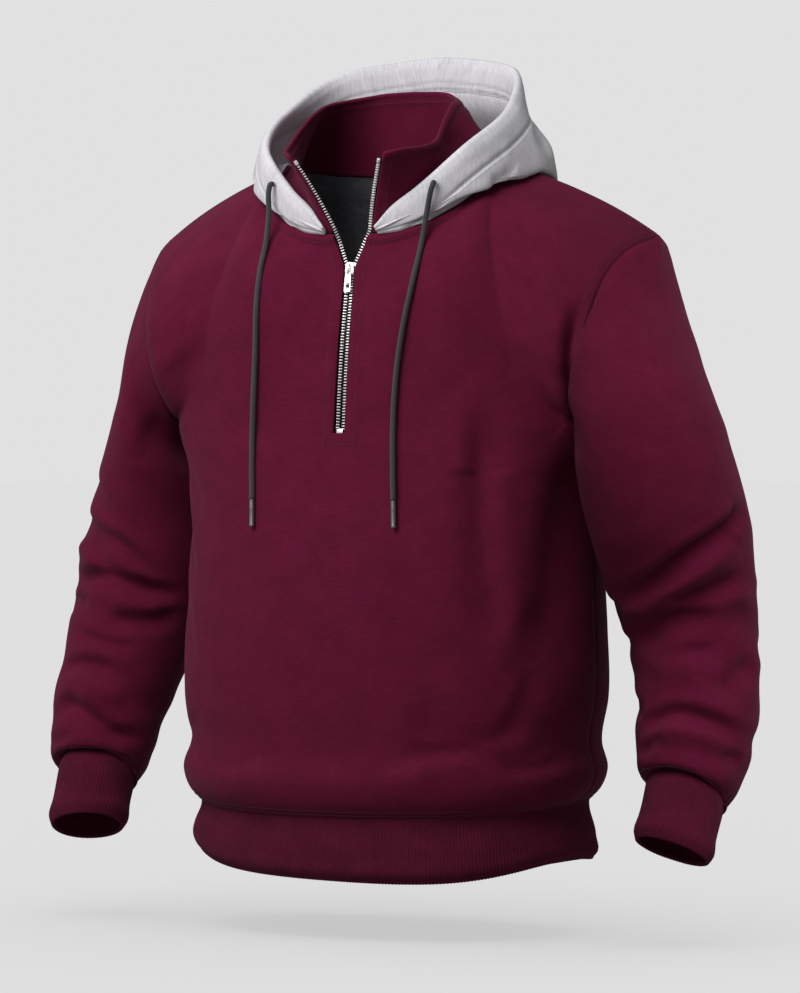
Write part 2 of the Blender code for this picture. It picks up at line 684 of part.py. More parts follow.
def make_hood(looks):
    shares = np.linspace(0, 1, HOOD_SHARES + 1)
    left = hood_grid(shares, np.linspace(0, 1, HOOD_ROWS + 1))
    both = [left, mirrored(left)]
    normals = skin_normals([(grid, False) for grid in both])
    for name, grid, facing, side in zip(("hood_left", "hood_right"), both, normals, ("end", "start")):
        cloth(name, stop_short(grid, (side,)), facing, HOOD_CLOTH, looks["hood"])


def zip_path():
    """The left cloth edge along the zip, from its bottom to the collar's top, with its frames."""
    rows = 1 + np.linspace(0, 1, 41)[:-1]
    below = ARMPIT + np.linspace(ZIP_BOTTOM + 0.001 - ARMPIT, -0.002, 2)
    rows = np.concatenate([(below - HEM_TOP) / (ARMPIT - HEM_TOP), rows])
    s = np.array([-0.12, -SLIT, SLIT, 0.12])
    body = front_skin(s, rows)
    body_normals = skin_normals([(body, False)])[0]
    collar, collar_normals = collar_skin(np.array([0, 0.035, 0.07]), np.linspace(0, 1, 13))
    edge = np.concatenate([body[:, 2], collar[:-1, 0]])
    inwards = np.concatenate([body[:, 3] - body[:, 2], collar[:-1, 1] - collar[:-1, 0]])
    facing = np.concatenate([body_normals[:, 2], collar_normals[:-1, 0]])
    closed = edge[:, 2] < SLIDER_HEIGHT - 0.001
    inwards[closed] = (1, 0, 0)
    facing[:, 0] *= np.where(closed, 0, 1)
    shares = np.concatenate([[0, 0.012], np.linspace(0.040, 0.986, 32), [1]])
    spot, across, out = (along_with(edge, values, shares) for values in (edge, inwards, facing))
    across /= np.linalg.norm(across, axis=1)[:, None]
    out /= np.linalg.norm(out, axis=1)[:, None]
    return spot, -across, out


def along_with(path, values, shares):
    """Values that go with a path's points, at these shares of its length."""
    steps = np.linalg.norm(np.diff(path, axis=0), axis=1)
    stations = np.concatenate([[0], np.cumsum(steps)]) / steps.sum()
    return np.column_stack([np.interp(shares, stations, column) for column in np.asarray(values).T])


def strip(name, spot, across, out, section, material, mirror=False):
    """A bar of rectangular section along a path."""
    (a0, a1), (b0, b1) = section
    corners = [(a0, b0), (a1, b0), (a1, b1), (a0, b1)]
    rings = np.array([spot + a * across + b * out for a, b in corners])
    points = rings.transpose(1, 0, 2).reshape(-1, 3)
    if mirror:
        points = points * (-1, 1, 1)
    faces = [(3, 2, 1, 0), tuple(len(points) - 4 + k for k in range(4))]
    for ring in range(len(spot) - 1):
        for k in range(4):
            a, b = 4 * ring + k, 4 * ring + (k + 1) % 4
            faces.append((a, b, b + 4, a + 4))
    made = add_mesh(name, points, faces, material)
    face_out(made)
    return made


def face_out(made):
    """Turns a closed mesh's faces outwards."""
    shape = bmesh.new()
    shape.from_mesh(made.data)
    bmesh.ops.recalc_face_normals(shape, faces=shape.faces)
    shape.to_mesh(made.data)
    shape.free()


def make_zip(looks):
    spot, across, out = zip_path()
    teeth = slice(1, -1)
    for side, mirror in (("left", False), ("right", True)):
        strip(f"zip_tape_{side}", spot, across, out, TAPE_STRIP, looks["tape"], mirror)
        strip(
            f"zip_chain_{side}", spot[teeth], across[teeth], out[teeth], TEETH_STRIP,
            looks["nickel"], mirror,
        )
    start = spot[0] * (0, 1, 1)
    foot = np.array([start, start + (spot[1] - spot[0]) * (0, 0.90, 0.90)])
    flat = np.tile([1.0, 0, 0], (2, 1))
    strip("zip_bottom_stop", foot, flat, out[:2], ((-0.0031, 0.0031), (-0.0042, -0.0006)), looks["nickel"])
    along_top = spot[-2:] + (spot[-1] - spot[-2]) * np.array([[0.08], [-0.08]])
    for side, mirror in (("left", False), ("right", True)):
        strip(
            f"zip_top_stop_{side}", along_top, across[-2:], out[-2:], ((0.0031, 0.0061), (-0.0042, -0.0008)),
            looks["nickel"], mirror,
        )
    make_slider(looks, spot, out)


def slider_frame(spot, out):
    """The slider's own frame: X across, Y up the zip, Z out of the cloth, on the centre line."""
    above = int(np.argmax(spot[:, 2] > SLIDER_HEIGHT))
    low, high = spot[above - 1], spot[above]
    middle = low + (high - low) * (SLIDER_HEIGHT - low[2]) / (high[2] - low[2])
    up = Vector((spot[above] - spot[above - 2]) * (0, 1, 1)).normalized()
    side = Vector((1, 0, 0))
    face = side.cross(up)
    turn = Matrix((side, up, face)).transposed().to_4x4()
    return Matrix.Translation((0, middle[1], middle[2])) @ turn


def block(name, size, centre, frame, material):
    """A box in the slider's frame."""
    low, high = Vector(centre) - Vector(size) / 2, Vector(centre) + Vector(size) / 2
    corners = [
        (x, y, z) for z in (low.z, high.z) for x, y in
        ((low.x, low.y), (high.x, low.y), (high.x, high.y), (low.x, high.y))
    ]
    sides = [(k, (k + 1) % 4, (k + 1) % 4 + 4, k + 4) for k in range(4)]
    return add_mesh(name, [frame @ Vector(c) for c in corners], [(3, 2, 1, 0), (4, 5, 6, 7), *sides], material)


def make_slider(looks, spot, out):
    """Two plates joined by the wedge that parts the teeth, and the bail that holds the pull tab."""
    frame = slider_frame(spot, out)
    width, length, thick = PLATE
    slider = block("zip_slider", PLATE, (0, 0, 0), frame, looks["nickel"])
    parts = (
        ("back_plate", (width, length, thick), (0, 0, -0.0060)),
        ("wedge", (0.0011, 0.0040, 0.0056), (0, length / 2 - 0.0022, -0.0028)),
        ("bail_foot_low", (0.0022, 0.0014, 0.0034), (0, -0.0036, 0.0019)),
        ("bail_foot_high", (0.0022, 0.0014, 0.0034), (0, 0.0036, 0.0019)),
        ("bail_bar", (0.0022, 0.0086, 0.0010), (0, 0, 0.0036)),
    )
    for name, size, centre in parts:
        cutter = block(name, size, centre, frame, looks["nickel"])
        cutter.hide_render = True
        cutter.display_type = "WIRE"
        join = slider.modifiers.new(name, "BOOLEAN")
        join.operation = "UNION"
        join.object = cutter
    make_pull(looks, frame)


def make_pull(looks, frame):
    """The pull tab: a crossbar under the bail, two rails, a plate and a slot near its end."""
    half = PULL_WIDTH / 2
    across = np.array([-half, -0.0017, 0.0017, half])
    down = -np.array([-0.0006, 0.0006, 0.0054, 0.0150, 0.0205, PULL_LENGTH])[::-1]
    grid = np.array([[frame @ Vector((x, y, PULL_OUT + PULL_THICK / 2)) for x in across] for y in down])
    facing = np.tile(np.array(frame.to_3x3() @ Vector((0, 0, 1))), (*grid.shape[:2], 1))
    cloth("zip_pull", grid, facing, PULL_THICK, looks["nickel"], missing={(1, 1), (3, 1)})


def make_cords(looks):
    for side, route in (("left", CORD_LEFT), ("right", CORD_RIGHT)):
        path = np.array(route)
        steps = np.linalg.norm(np.diff(path, axis=0), axis=1).sum()
        points = along(path, np.linspace(0, 1, int(steps / (2.3 * CORD)) + 1))
        curve = bpy.data.curves.new(f"drawcord_{side}", "CURVE")
        curve.dimensions = "3D"
        spline = curve.splines.new("POLY")
        spline.points.add(len(points) - 1)
        for target, point in zip(spline.points, points):
            target.co = (*point, 1)
        curve.bevel_depth = CORD / 2
        curve.bevel_resolution = 2
        curve.use_fill_caps = True
        curve.materials.append(looks["cord"])
        made = bpy.data.objects.new(f"drawcord_{side}", curve)
        bpy.context.scene.collection.objects.link(made)
        aim = Vector(points[-1] - points[-2]).normalized()
        tip = bmesh.new()
        bmesh.ops.create_cone(
            tip, cap_ends=True, segments=14, radius1=AGLET / 2, radius2=AGLET / 2, depth=AGLET_LENGTH
        )
        middle = Vector(points[-1]) + aim * (AGLET_LENGTH / 2 + SEAM_GAP)
        turn = aim.to_track_quat("Z", "Y").to_matrix().to_4x4()
        tip.transform(Matrix.Translation(middle) @ turn)
        mesh = bpy.data.meshes.new(f"aglet_{side}")
        tip.to_mesh(mesh)
        tip.free()
        mesh.materials.append(looks["gunmetal"])
        bpy.context.scene.collection.objects.link(bpy.data.objects.new(f"aglet_{side}", mesh))


def main():
    for old in list(bpy.data.objects):
        bpy.data.objects.remove(old)
    looks = {
        "fleece": finish("brushed fleece", "5E1B36", 0.92),
        "rib": finish("knitted rib", "561830", 0.95),
        "hood": finish("heather fleece", "C4C2C6", 0.93),
        "tape": finish("zip tape", "2A1A22", 0.85),
        "nickel": finish("nickel", "C9CACC", 0.25, 1.0),
        "cord": finish("round cord", "2B2A2C", 0.9),
        "gunmetal": finish("gunmetal", "5A585A", 0.35, 1.0),
    }
    make_cloth(looks)
    make_collar(looks)
    make_hood(looks)
    make_zip(looks)
    make_cords(looks)


main()
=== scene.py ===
# %% [markdown]
# # A half-zip hoodie, one sewn piece at a time
#
# The garment is shown filled out, as if worn by nobody. Every cut piece of cloth
# is a thin shell with an outside and an inside, and it lies on the plain solid
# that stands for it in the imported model. This lesson opens that model, sets up
# the camera, and then dresses it piece by piece: cords, cloth, stitches, zip.

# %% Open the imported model
import json
from math import pi

import bmesh
import bpy
import numpy as np
from mathutils import Matrix, Vector, noise


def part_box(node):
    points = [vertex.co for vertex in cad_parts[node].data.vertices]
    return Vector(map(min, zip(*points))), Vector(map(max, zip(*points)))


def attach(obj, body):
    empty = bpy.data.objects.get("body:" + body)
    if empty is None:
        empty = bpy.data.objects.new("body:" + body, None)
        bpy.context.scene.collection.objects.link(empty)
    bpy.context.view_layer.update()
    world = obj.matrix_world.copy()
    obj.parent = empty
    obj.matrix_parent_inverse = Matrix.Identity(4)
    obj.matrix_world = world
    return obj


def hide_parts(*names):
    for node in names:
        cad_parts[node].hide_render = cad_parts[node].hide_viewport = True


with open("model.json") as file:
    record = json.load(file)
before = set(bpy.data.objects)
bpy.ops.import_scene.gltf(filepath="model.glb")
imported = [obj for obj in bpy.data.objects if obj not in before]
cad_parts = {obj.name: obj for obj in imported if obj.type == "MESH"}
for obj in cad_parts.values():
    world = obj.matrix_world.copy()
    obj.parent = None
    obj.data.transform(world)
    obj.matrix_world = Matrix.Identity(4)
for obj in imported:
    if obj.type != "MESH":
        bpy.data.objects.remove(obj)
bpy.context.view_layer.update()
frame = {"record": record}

# %% [markdown]
# ## The camera
#
# A long lens about five metres off keeps the perspective as flat as a product
# picture's. It looks from the wearer's left front, almost level with the chest.
# The small shift slides the frame sideways without turning the camera.

# %% Place the camera
VIEW_TURN = np.radians(27.0)
VIEW_RISE = np.radians(1.0)
VIEW_DISTANCE = 5.0
VIEW_CENTRE = Vector((0, 0, -0.34))
VIEW_HEIGHT = 1.003
SENSOR = 36


def direction(turn, rise):
    """The way to a point this many radians round from the front and this many up."""
    return Vector((np.sin(turn) * np.cos(rise), -np.cos(turn) * np.cos(rise), np.sin(rise)))


def add_object(name, data):
    """A new object in the scene."""
    made = bpy.data.objects.new(name, data)
    bpy.context.collection.objects.link(made)
    return made


towards_eye = direction(VIEW_TURN, VIEW_RISE)
lens = bpy.data.cameras.new("camera")
lens.sensor_fit = "VERTICAL"
lens.sensor_height = SENSOR
lens.lens = SENSOR * VIEW_DISTANCE / VIEW_HEIGHT
lens.shift_x = 0.004
camera = add_object("camera", lens)
camera.location = VIEW_CENTRE + towards_eye * VIEW_DISTANCE
camera.rotation_euler = towards_eye.to_track_quat("Z", "Y").to_euler()
bpy.context.scene.camera = camera

# %% [markdown]
# ## Helpers for materials
#
# Colours are written as the hex values a colour picker shows and turned to the
# linear values that Blender mixes. One function adds a node, so that a material
# reads as a short list of what is done to the surface.

# %% Colour and node helpers
def colour(hex_value):
    """An sRGB hex colour as a linear RGBA."""
    channels = np.array([int(hex_value[i : i + 2], 16) for i in (1, 3, 5)]) / 255
    linear = np.where(channels <= 0.04045, channels / 12.92, ((channels + 0.055) / 1.055) ** 2.4)
    return (*linear, 1.0)


def set_inputs(tree, made, inputs):
    """Gives each of a node's named inputs its value or its link."""
    for key, value in dict(inputs).items():
        if isinstance(value, bpy.types.NodeSocket):
            tree.links.new(value, made.inputs[key])
        else:
            made.inputs[key].default_value = value


def node(tree, kind, inputs=(), stops=(), **settings):
    """A new node with its settings, values, links and (position, hex) colour stops."""
    made = tree.nodes.new(kind)
    for name, value in settings.items():
        setattr(made, name, value)
    for k, (position, hex_value) in enumerate(stops):
        elements = made.color_ramp.elements
        element = elements[k] if k < len(elements) else elements.new(position)
        element.position, element.color = position, colour(hex_value)
    set_inputs(tree, made, inputs)
    return made


def result(tree, kind, inputs=(), stops=(), **settings):
    """The first output of a new node."""
    return node(tree, kind, inputs, stops, **settings).outputs[0]


def new_material(name):
    """An empty material with its surface shader joined to the output."""
    material = bpy.data.materials.new(name)
    material.use_nodes = True
    tree = material.node_tree
    tree.nodes.clear()
    shader = node(tree, "ShaderNodeBsdfPrincipled")
    node(tree, "ShaderNodeOutputMaterial", {"Surface": shader.outputs[0]})
    return material, tree, shader


def mottle(tree, along_u, along_v, detail, roughness=0.5, source="UV"):
    """A cloudy pattern with this many features a metre each way."""
    where = node(tree, "ShaderNodeTexCoord").outputs[source]
    scale = (along_u, along_v, along_u)
    stretched = result(tree, "ShaderNodeMapping", {"Vector": where, "Scale": scale})
    return result(tree, "ShaderNodeTexNoise", {
        "Vector": stretched, "Scale": 1.0, "Detail": detail, "Roughness": roughness
    })

# %% [markdown]
# ## Brushed fleece, rib and the other cloths
#
# Sweatshirt fleece is knitted cotton whose face is faintly mottled: the loops
# lie in rows, a few threads are thicker and show as short level flecks, and a
# halo of loose fibre gives a soft pale edge where the cloth turns away. The
# loops are about 0.8 mm, too fine to show, so they are drawn at 1.5 mm. Flecks
# are given as so many a metre each way, loops and relief in millimetres.

# %% Make the cloth materials
def knit(name, stops, flecks, loop_mm, bump_mm, sheen, sheen_tint, fleck_mix=0.5):
    """A knitted cloth: a mottle, flecks along the rows, loops in relief and a halo of fibre."""
    material, tree, shader = new_material(name)
    clouds = mottle(tree, 26, 30, 5.0, 0.62)
    marks = mottle(tree, *flecks, 3.0, 0.7)
    blend = result(tree, "ShaderNodeMix", {0: fleck_mix, 2: clouds, 3: marks})
    fibre = mottle(tree, 1000 / loop_mm, 1300 / loop_mm, 4.0, 0.65)
    lumps = result(tree, "ShaderNodeMix", {0: 0.30, 2: fibre, 3: marks})
    raised = result(tree, "ShaderNodeBump", {
        "Height": lumps, "Distance": bump_mm / 1000, "Strength": 1.0
    })
    set_inputs(tree, shader, {
        "Base Color": result(tree, "ShaderNodeValToRGB", {"Fac": blend}, stops), "Normal": raised,
        "Roughness": 0.92, "IOR": 1.45, "Specular IOR Level": 0.14,
        "Sheen Weight": sheen, "Sheen Roughness": 0.5, "Sheen Tint": colour(sheen_tint),
    })
    return material


burgundy_fleece = knit(
    "burgundy_brushed_fleece", ((0.30, "#4A0822"), (0.50, "#550C29"), (0.72, "#60112F")),
    (90, 420), 1.5, 0.55, 0.10, "#D98AA6",
)
charcoal_fleece = knit(
    "charcoal_brushed_back", ((0.30, "#505055"), (0.55, "#707076"), (0.75, "#909097")),
    (160, 200), 2.2, 0.9, 0.20, "#B9BEC8",
)
burgundy_rib = knit(
    "burgundy_rib_knit", ((0.30, "#3C081B"), (0.50, "#4A0C24"), (0.72, "#58132E")),
    (500, 160), 1.2, 0.45, 0.10, "#D98AA6",
)
heather_jersey = knit(
    "heather_grey_jersey", ((0.34, "#A9A7AC"), (0.47, "#BFBDC1"), (0.66, "#D2D0D4")),
    (820, 70), 1.3, 0.35, 0.12, "#FFFFFF", fleck_mix=0.72,
)
zip_tape_weave = knit(
    "woven_zip_tape", ((0.30, "#24101A"), (0.55, "#34131F"), (0.75, "#461C2C")),
    (1400, 300), 0.6, 0.25, 0.10, "#B48A98",
)

# %% [markdown]
# ## Metal and thread
#
# The zip is nickel-plated brass, bright and slightly warm, with the soft
# scratches of a tumbled part; much of that brightness is painted, as a pale
# diffuse colour under half a metal's shine. The cord tips are the same kind of part
# in dark gunmetal plate. The sewing thread is spun polyester in the colour of its cloth.

# %% Make the metal, thread and cord materials
def plated(name, hex_value, roughness, wear):
    """Plated metal whose polish varies a little from tumbling."""
    material, tree, shader = new_material(name)
    polish = result(tree, "ShaderNodeMapRange", {
        "Value": mottle(tree, 700, 700, 3.0, source="Object"), "From Min": 0.3, "From Max": 0.7,
        "To Min": roughness - wear, "To Max": roughness + wear,
    })
    # only 55% metal: the rest is a diffuse coat of the base colour, painted brightness in place of
    # the reflections that the dim room does not give
    set_inputs(tree, shader, {
        "Roughness": polish, "Base Color": colour(hex_value), "Metallic": 0.55
    })
    return material


def thread(name, hex_value):
    """Spun sewing thread, twisted about twice a millimetre."""
    material, tree, shader = new_material(name)
    twist = mottle(tree, 2000, 2000, 1.0, source="Object")
    raised = result(tree, "ShaderNodeBump", {"Height": twist, "Distance": 0.0001, "Strength": 1.0})
    set_inputs(tree, shader, {
        "Normal": raised, "Base Color": colour(hex_value), "Roughness": 0.6, "Sheen Weight": 0.15
    })
    return material


def braid(name, dark, light, pitch=0.0016):
    """A round braid: strands cross both ways around the cord, one pitch apart."""
    material, tree, shader = new_material(name)
    where = node(tree, "ShaderNodeTexCoord").outputs["UV"]
    waves = []
    for lean in (1, -1):
        turn = (0, 0, lean * pi / 4)
        turned = result(tree, "ShaderNodeMapping", {"Vector": where, "Rotation": turn})
        waves.append(node(tree, "ShaderNodeTexWave", {
            "Vector": turned, "Scale": 2 * pi / pitch / 20, "Distortion": 0.0
        }, bands_direction="X").outputs[1])
    strands = result(tree, "ShaderNodeMath", {0: waves[0], 1: waves[1]}, operation="MAXIMUM")
    # the strand tops are lighter and the gaps between strands darker: painted shade, laid on the
    # same heights as the bump
    coloured = result(tree, "ShaderNodeValToRGB", {"Fac": strands}, ((0.2, dark), (0.9, light)))
    raised = result(tree, "ShaderNodeBump", {
        "Height": strands, "Distance": 0.0004, "Strength": 1.0
    })
    set_inputs(tree, shader, {
        "Base Color": coloured, "Normal": raised, "Roughness": 0.8, "Sheen Weight": 0.15
    })
    return material


# the near-white nickel shows largely as painted brightness through the diffuse half of the plate
nickel = plated("nickel_plate", "#F2F0EC", 0.30, 0.06)
gunmetal = plated("gunmetal_plate", "#6A6A6E", 0.34, 0.08)
burgundy_thread = thread("burgundy_sewing_thread", "#30071A")
grey_thread = thread("grey_sewing_thread", "#98989D")
charcoal_braid = braid("charcoal_braided_cord", "#17181B", "#34353A")

# %% [markdown]
# ## Smooth curves through a few points
#
# Nearly every form here is a smooth curve or surface through a short table of
# sizes. `through` reads such a table at any place between its rows, `along`
# does so by the distance travelled.

# %% Curve helpers
def blend_of(start, start_slope, end, end_slope, t):
    """A smooth way from start (t 0) to end (t 1) that leaves and arrives with the given slopes."""
    return (
        (1 + 2 * t) * (1 - t) ** 2 * start + t * (1 - t) ** 2 * start_slope
        + t**2 * (3 - 2 * t) * end - t**2 * (1 - t) * end_slope
    )


def through(stations, rows, at):
    """Values between the rows of a table, on a smooth curve through all of them."""
    x, y, at = np.asarray(stations, float), np.asarray(rows, float), np.asarray(at, float)
    slope = np.gradient(y, x, axis=0)
    i = np.clip(np.searchsorted(x, at, side="right") - 1, 0, len(x) - 2)
    shape = (-1,) + (1,) * (y.ndim - 1)
    h = (x[i + 1] - x[i]).reshape(shape)
    t = ((at - x[i]) / (x[i + 1] - x[i])).reshape(shape)
    return blend_of(y[i], h * slope[i], y[i + 1], h * slope[i + 1], t)


def travelled(points):
    """The distance from the first point to each, along the line of them."""
    steps = np.linalg.norm(np.diff(points, axis=0), axis=-1)
    return np.concatenate([np.zeros((1,) + steps.shape[1:]), np.cumsum(steps, axis=0)])


def along(points, shares):
    """Points at these shares of the length of a smooth curve through the given ones."""
    points = np.asarray(points, float)
    done = travelled(points)
    return through(done / done[-1], points, shares)


def read_table(table, at):
    """A table's other columns at these places in its first one."""
    table = np.array(table)
    return through(table[:, 0], table[:, 1:], at)


def smooth_step(t):
    """Rises softly from 0 to 1 as t does."""
    t = np.clip(t, 0, 1)
    return t * t * (3 - 2 * t)


def near(distance, width, power=2):
    """1 on a line, fading to nothing within about two widths of it."""
    return np.exp(-((distance / width) ** power))


def from_ends(grid):
    """The distances of each point from the first row and from the last, along its column."""
    up = travelled(grid)
    return up, up[-1:] - up


def unit(vectors):
    """The same directions, each one long."""
    return vectors / np.linalg.norm(vectors, axis=-1, keepdims=True)


# %% [markdown]
# ## The drawcords
#
# Each drawcord is a round braided cord, 5.4 mm thick, that leaves a stitched
# hole in the hood's front corner, drops over the chest and ends in a crimped
# metal tip. It hangs close to straight, with the slight wander of a limp cord.

# %% Where the cords hang
CORD = 0.0054
CORD_RINGS, CORD_SIDES = 150, 14
CORD_POINTS = {
    "left": (
        (0.0886, -0.0921, -0.0288), (0.0898, -0.0952, -0.0290), (0.0888, -0.0975, -0.0345),
        (0.0845, -0.0962, -0.0500), (0.0795, -0.0985, -0.0830), (0.0765, -0.1145, -0.1265),
        (0.0690, -0.1190, -0.1665), (0.0620, -0.1214, -0.2163), (0.0602, -0.1248, -0.2660),
        (0.0625, -0.1300, -0.3040), (0.0660, -0.1358, -0.3415),
    ),
    "right": (
        (-0.0918, -0.0914, -0.0266), (-0.0928, -0.0944, -0.0268), (-0.0934, -0.0968, -0.0330),
        (-0.0935, -0.0965, -0.0550), (-0.0950, -0.0995, -0.0840), (-0.0962, -0.1095, -0.1120),
        (-0.0970, -0.1160, -0.1450), (-0.0976, -0.1178, -0.1925), (-0.0985, -0.1202, -0.2420),
        (-0.0985, -0.1228, -0.2920), (-0.0942, -0.1312, -0.3418),
    ),
}

# %% [markdown]
# ## From a path to a tube
#
# Every piece ends as a plain mesh at the origin, with its own metres as UVs. A
# tube is built ring by ring, and the two directions across its path are carried
# along without twisting, so that the braid runs straight.

# %% Build the drawcords
def finished_mesh(name, points, faces, materials, uvs=None, slots=None, smooth=True):
    """A mesh object at the origin, with its material slots and its own metres as UVs."""
    mesh = bpy.data.meshes.new(name)
    mesh.from_pydata([tuple(p) for p in points], [], [tuple(f) for f in faces])
    for material in materials:
        mesh.materials.append(material)
    if slots is not None:
        mesh.polygons.foreach_set("material_index", np.asarray(slots, dtype=np.int32))
    if uvs is not None:
        layer = mesh.uv_layers.new(name="UVMap")
        layer.data.foreach_set("uv", np.asarray(uvs, dtype=np.float32).reshape(-1))
    mesh.polygons.foreach_set("use_smooth", np.full(len(mesh.polygons), smooth))
    mesh.update()
    return add_object(name, mesh)


def frames_along(path):
    """Two directions across a path at each point, carried along it without twisting."""
    tangent = unit(np.gradient(path, axis=0))
    side = [unit(np.cross(tangent[0], (0.3, 1.0, 0.2)))]
    for t in tangent[1:]:
        side.append(unit(side[-1] - t * (side[-1] @ t)))
    side = np.array(side)
    return side, np.cross(tangent, side)


def ringed(name, rings, girth, length, material):
    """A closed tube from rings of points; girth and length are distances round and along it."""
    count, sides = rings.shape[:2]
    faces, uvs = [], []
    for r in range(count - 1):
        for k in range(sides):
            n = (k + 1) % sides
            faces.append((r * sides + k, r * sides + n, (r + 1) * sides + n, (r + 1) * sides + k))
            uvs += [
                (girth[k], length[r]), (girth[k + 1], length[r]),
                (girth[k + 1], length[r + 1]), (girth[k], length[r + 1]),
            ]
    faces += [tuple(range(sides))[::-1], tuple(range((count - 1) * sides, count * sides))]
    uvs += [(0, 0)] * (2 * sides)
    return finished_mesh(name, rings.reshape(-1, 3), faces, [material], uvs)


def tube(name, path, radius, sides, material):
    """A round tube along a path; radius is one number, or one for each point."""
    side, other = frames_along(path)
    angle = np.linspace(0, 2 * pi, sides, endpoint=False)
    radius = np.broadcast_to(radius, len(path))
    rings = path[:, None] + radius[:, None, None] * (
        np.cos(angle)[None, :, None] * side[:, None] + np.sin(angle)[None, :, None] * other[:, None]
    )
    girth = np.arange(sides + 1) * (2 * pi * radius.max() / sides)
    return ringed(name, rings, girth, travelled(path), material)


def part_of(piece, slot, *node_names, body="garment"):
    """Says which nodes a piece stands for and which body it rides; slot, what it is made of, is not
    used.
    """
    if node_names:
        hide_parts(*node_names)
    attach(piece, body)


cords = {}
for side, points in CORD_POINTS.items():
    path = along(points, np.linspace(0, 1, CORD_RINGS))
    cord = tube(f"cord_{side}", path, CORD / 2, CORD_SIDES, charcoal_braid)
    cords[side] = (cord, path)
    print(f"cord {side}: {travelled(path)[-1] * 1000:.0f} mm")

# %% [markdown]
# ## The cord tips
#
# Each tip is a thin metal tube crimped over the cord's end. Its profile is
# turned about the cord's own line: a rolled lip at each end, and a row of
# shallow crimped rings near the cord. The free length of cord is what is cut.

# %% Build the cord tips
AGLET = 0.0050
AGLET_LENGTH = 0.027
AGLET_SIDES = 24
CRIMPS = [(0.08 + 0.03 * k, (0.98, 1.03)[k % 2]) for k in range(8)]
# (share of the length, share of the width)
TIP_PROFILE = np.array([
    (0, 0.70), (0, 1.0), (0.03, 1.04), (0.05, 1.0), *CRIMPS,
    (0.32, 0.99), (0.90, 0.99), (0.93, 1.03), (0.97, 1.03), (1, 0.96), (1, 0.70),
])

for side, (cord, path) in cords.items():
    towards = unit(path[-1] - path[-4])
    shares, widths = TIP_PROFILE.T
    line = path[-1] + towards * 0.0003 + towards * (AGLET_LENGTH * shares)[:, None]
    line[0] -= towards * 1e-5
    line[-1] += towards * 1e-5
    tip = tube(f"cord_tip_{side}", line, widths * AGLET / 2, AGLET_SIDES, gunmetal)
    part_of(tip, "gunmetal", f"aglet_{side}")
    part_of(cord, "cord", f"drawcord_{side}")

# %% [markdown]
# ## The body's shape
#
# The body is a soft tube: a flattened oval at each height, widest where the cloth
# rolls over the hem band. Above the armpits a yoke carries it in to the neckline
# and shoulders. The tables give sizes in metres, and the functions turn them into
# rows of points: row 0 is the hem seam, row 1 the armpits, row 2 the top edge.

# %% Sizes of the body
HEM_TOP = -0.641
HEM_BOTTOM = -0.688
ARMPIT = -0.268
# how much lower the hem seam hangs at the centre front, and how much lower the
# band's fold hangs at the front, at the back and towards the wearer's left
SEAM_DROOP = 0.014
BAND_DROOP, BACK_DROOP, BAND_LEAN = 0.013, 0.008, 0.005
TORSO = (
    # height, half width, front depth, back depth
    (-0.688, 0.211, 0.151, 0.122),
    (-0.668, 0.210, 0.152, 0.124),
    (-0.641, 0.205, 0.148, 0.124),
    (-0.629, 0.2155, 0.158, 0.136),
    (-0.612, 0.2215, 0.164, 0.145),
    (-0.585, 0.2155, 0.158, 0.141),
    (-0.540, 0.2220, 0.157, 0.144),
    (-0.470, 0.222, 0.152, 0.138),
    (-0.400, 0.219, 0.145, 0.130),
    (-0.330, 0.222, 0.134, 0.126),
    (-0.268, 0.238, 0.123, 0.124),
)
SQUARENESS = 2.25
NECK_HALF_WIDTH = 0.122
NECK_HIGH = (0.000, -0.005)
NECK_FRONT = (-0.097, -0.079)
NECK_BACK = (0.062, -0.014)
SHOULDER_TIP = (0.281, 0.024, -0.080)
# the share of a panel's half width that is neckline; the rest is shoulder seam
NECK_SHARE = 0.50
FRONT_ARMHOLE = (
    # x, y, z from the armpit up to the shoulder tip
    (0.2380, 0.000, -0.268),
    (0.2345, -0.050, -0.254),
    (0.2390, -0.078, -0.216),
    (0.2480, -0.077, -0.168),
    (0.2545, -0.056, -0.126),
    (0.2650, -0.024, -0.097),
    (0.2810, 0.024, -0.080),
)
BACK_ARMHOLE = (
    (0.2380, 0.000, -0.268),
    (0.2400, 0.062, -0.250),
    (0.2475, 0.097, -0.208),
    (0.2565, 0.102, -0.160),
    (0.2660, 0.088, -0.116),
    (0.2750, 0.058, -0.091),
    (0.2810, 0.024, -0.080),
)
ZIP_OPENING = (
    # height, half the gap
    (-0.276, 0.0), (-0.1140, 0.0), (-0.1070, 0.0021), (-0.0980, 0.0068), (-0.0760, 0.0174),
)
ZIP_BOTTOM = -0.276
CLOTH_TO_TEETH = 0.0062
# how far round the panel the two columns beside the zip lie, with 1 at the side seam
SLIT = 0.026
# the shoulder seam rises beside the neck and slumps towards its tip
SHOULDER_ROLL, SHOULDER_SLUMP = 0.009, 0.0055
# how the yoke sets off at the armpits and how it arrives at the top edge
ARMPIT_LEAN, ARMPIT_RISE = 0.03, 0.34
FRONT_BEND, BACK_BEND, SHOULDER_BEND = 0.03, 0.17, 0.30

# %% Read the body at any place
def torso_section(height, s, side):
    """Half a section of the body's tube; s runs from -1 at one side seam to 1 at the other."""
    width, front, back = read_table(TORSO, [height])[0]
    angle = np.asarray(s) * pi / 2
    power = 2 / SQUARENESS
    x = width * np.sign(angle) * np.abs(np.sin(angle)) ** power
    y = side * (front if side < 0 else back) * np.abs(np.cos(angle)) ** power
    return np.column_stack([x, y, np.full(len(x), height)])


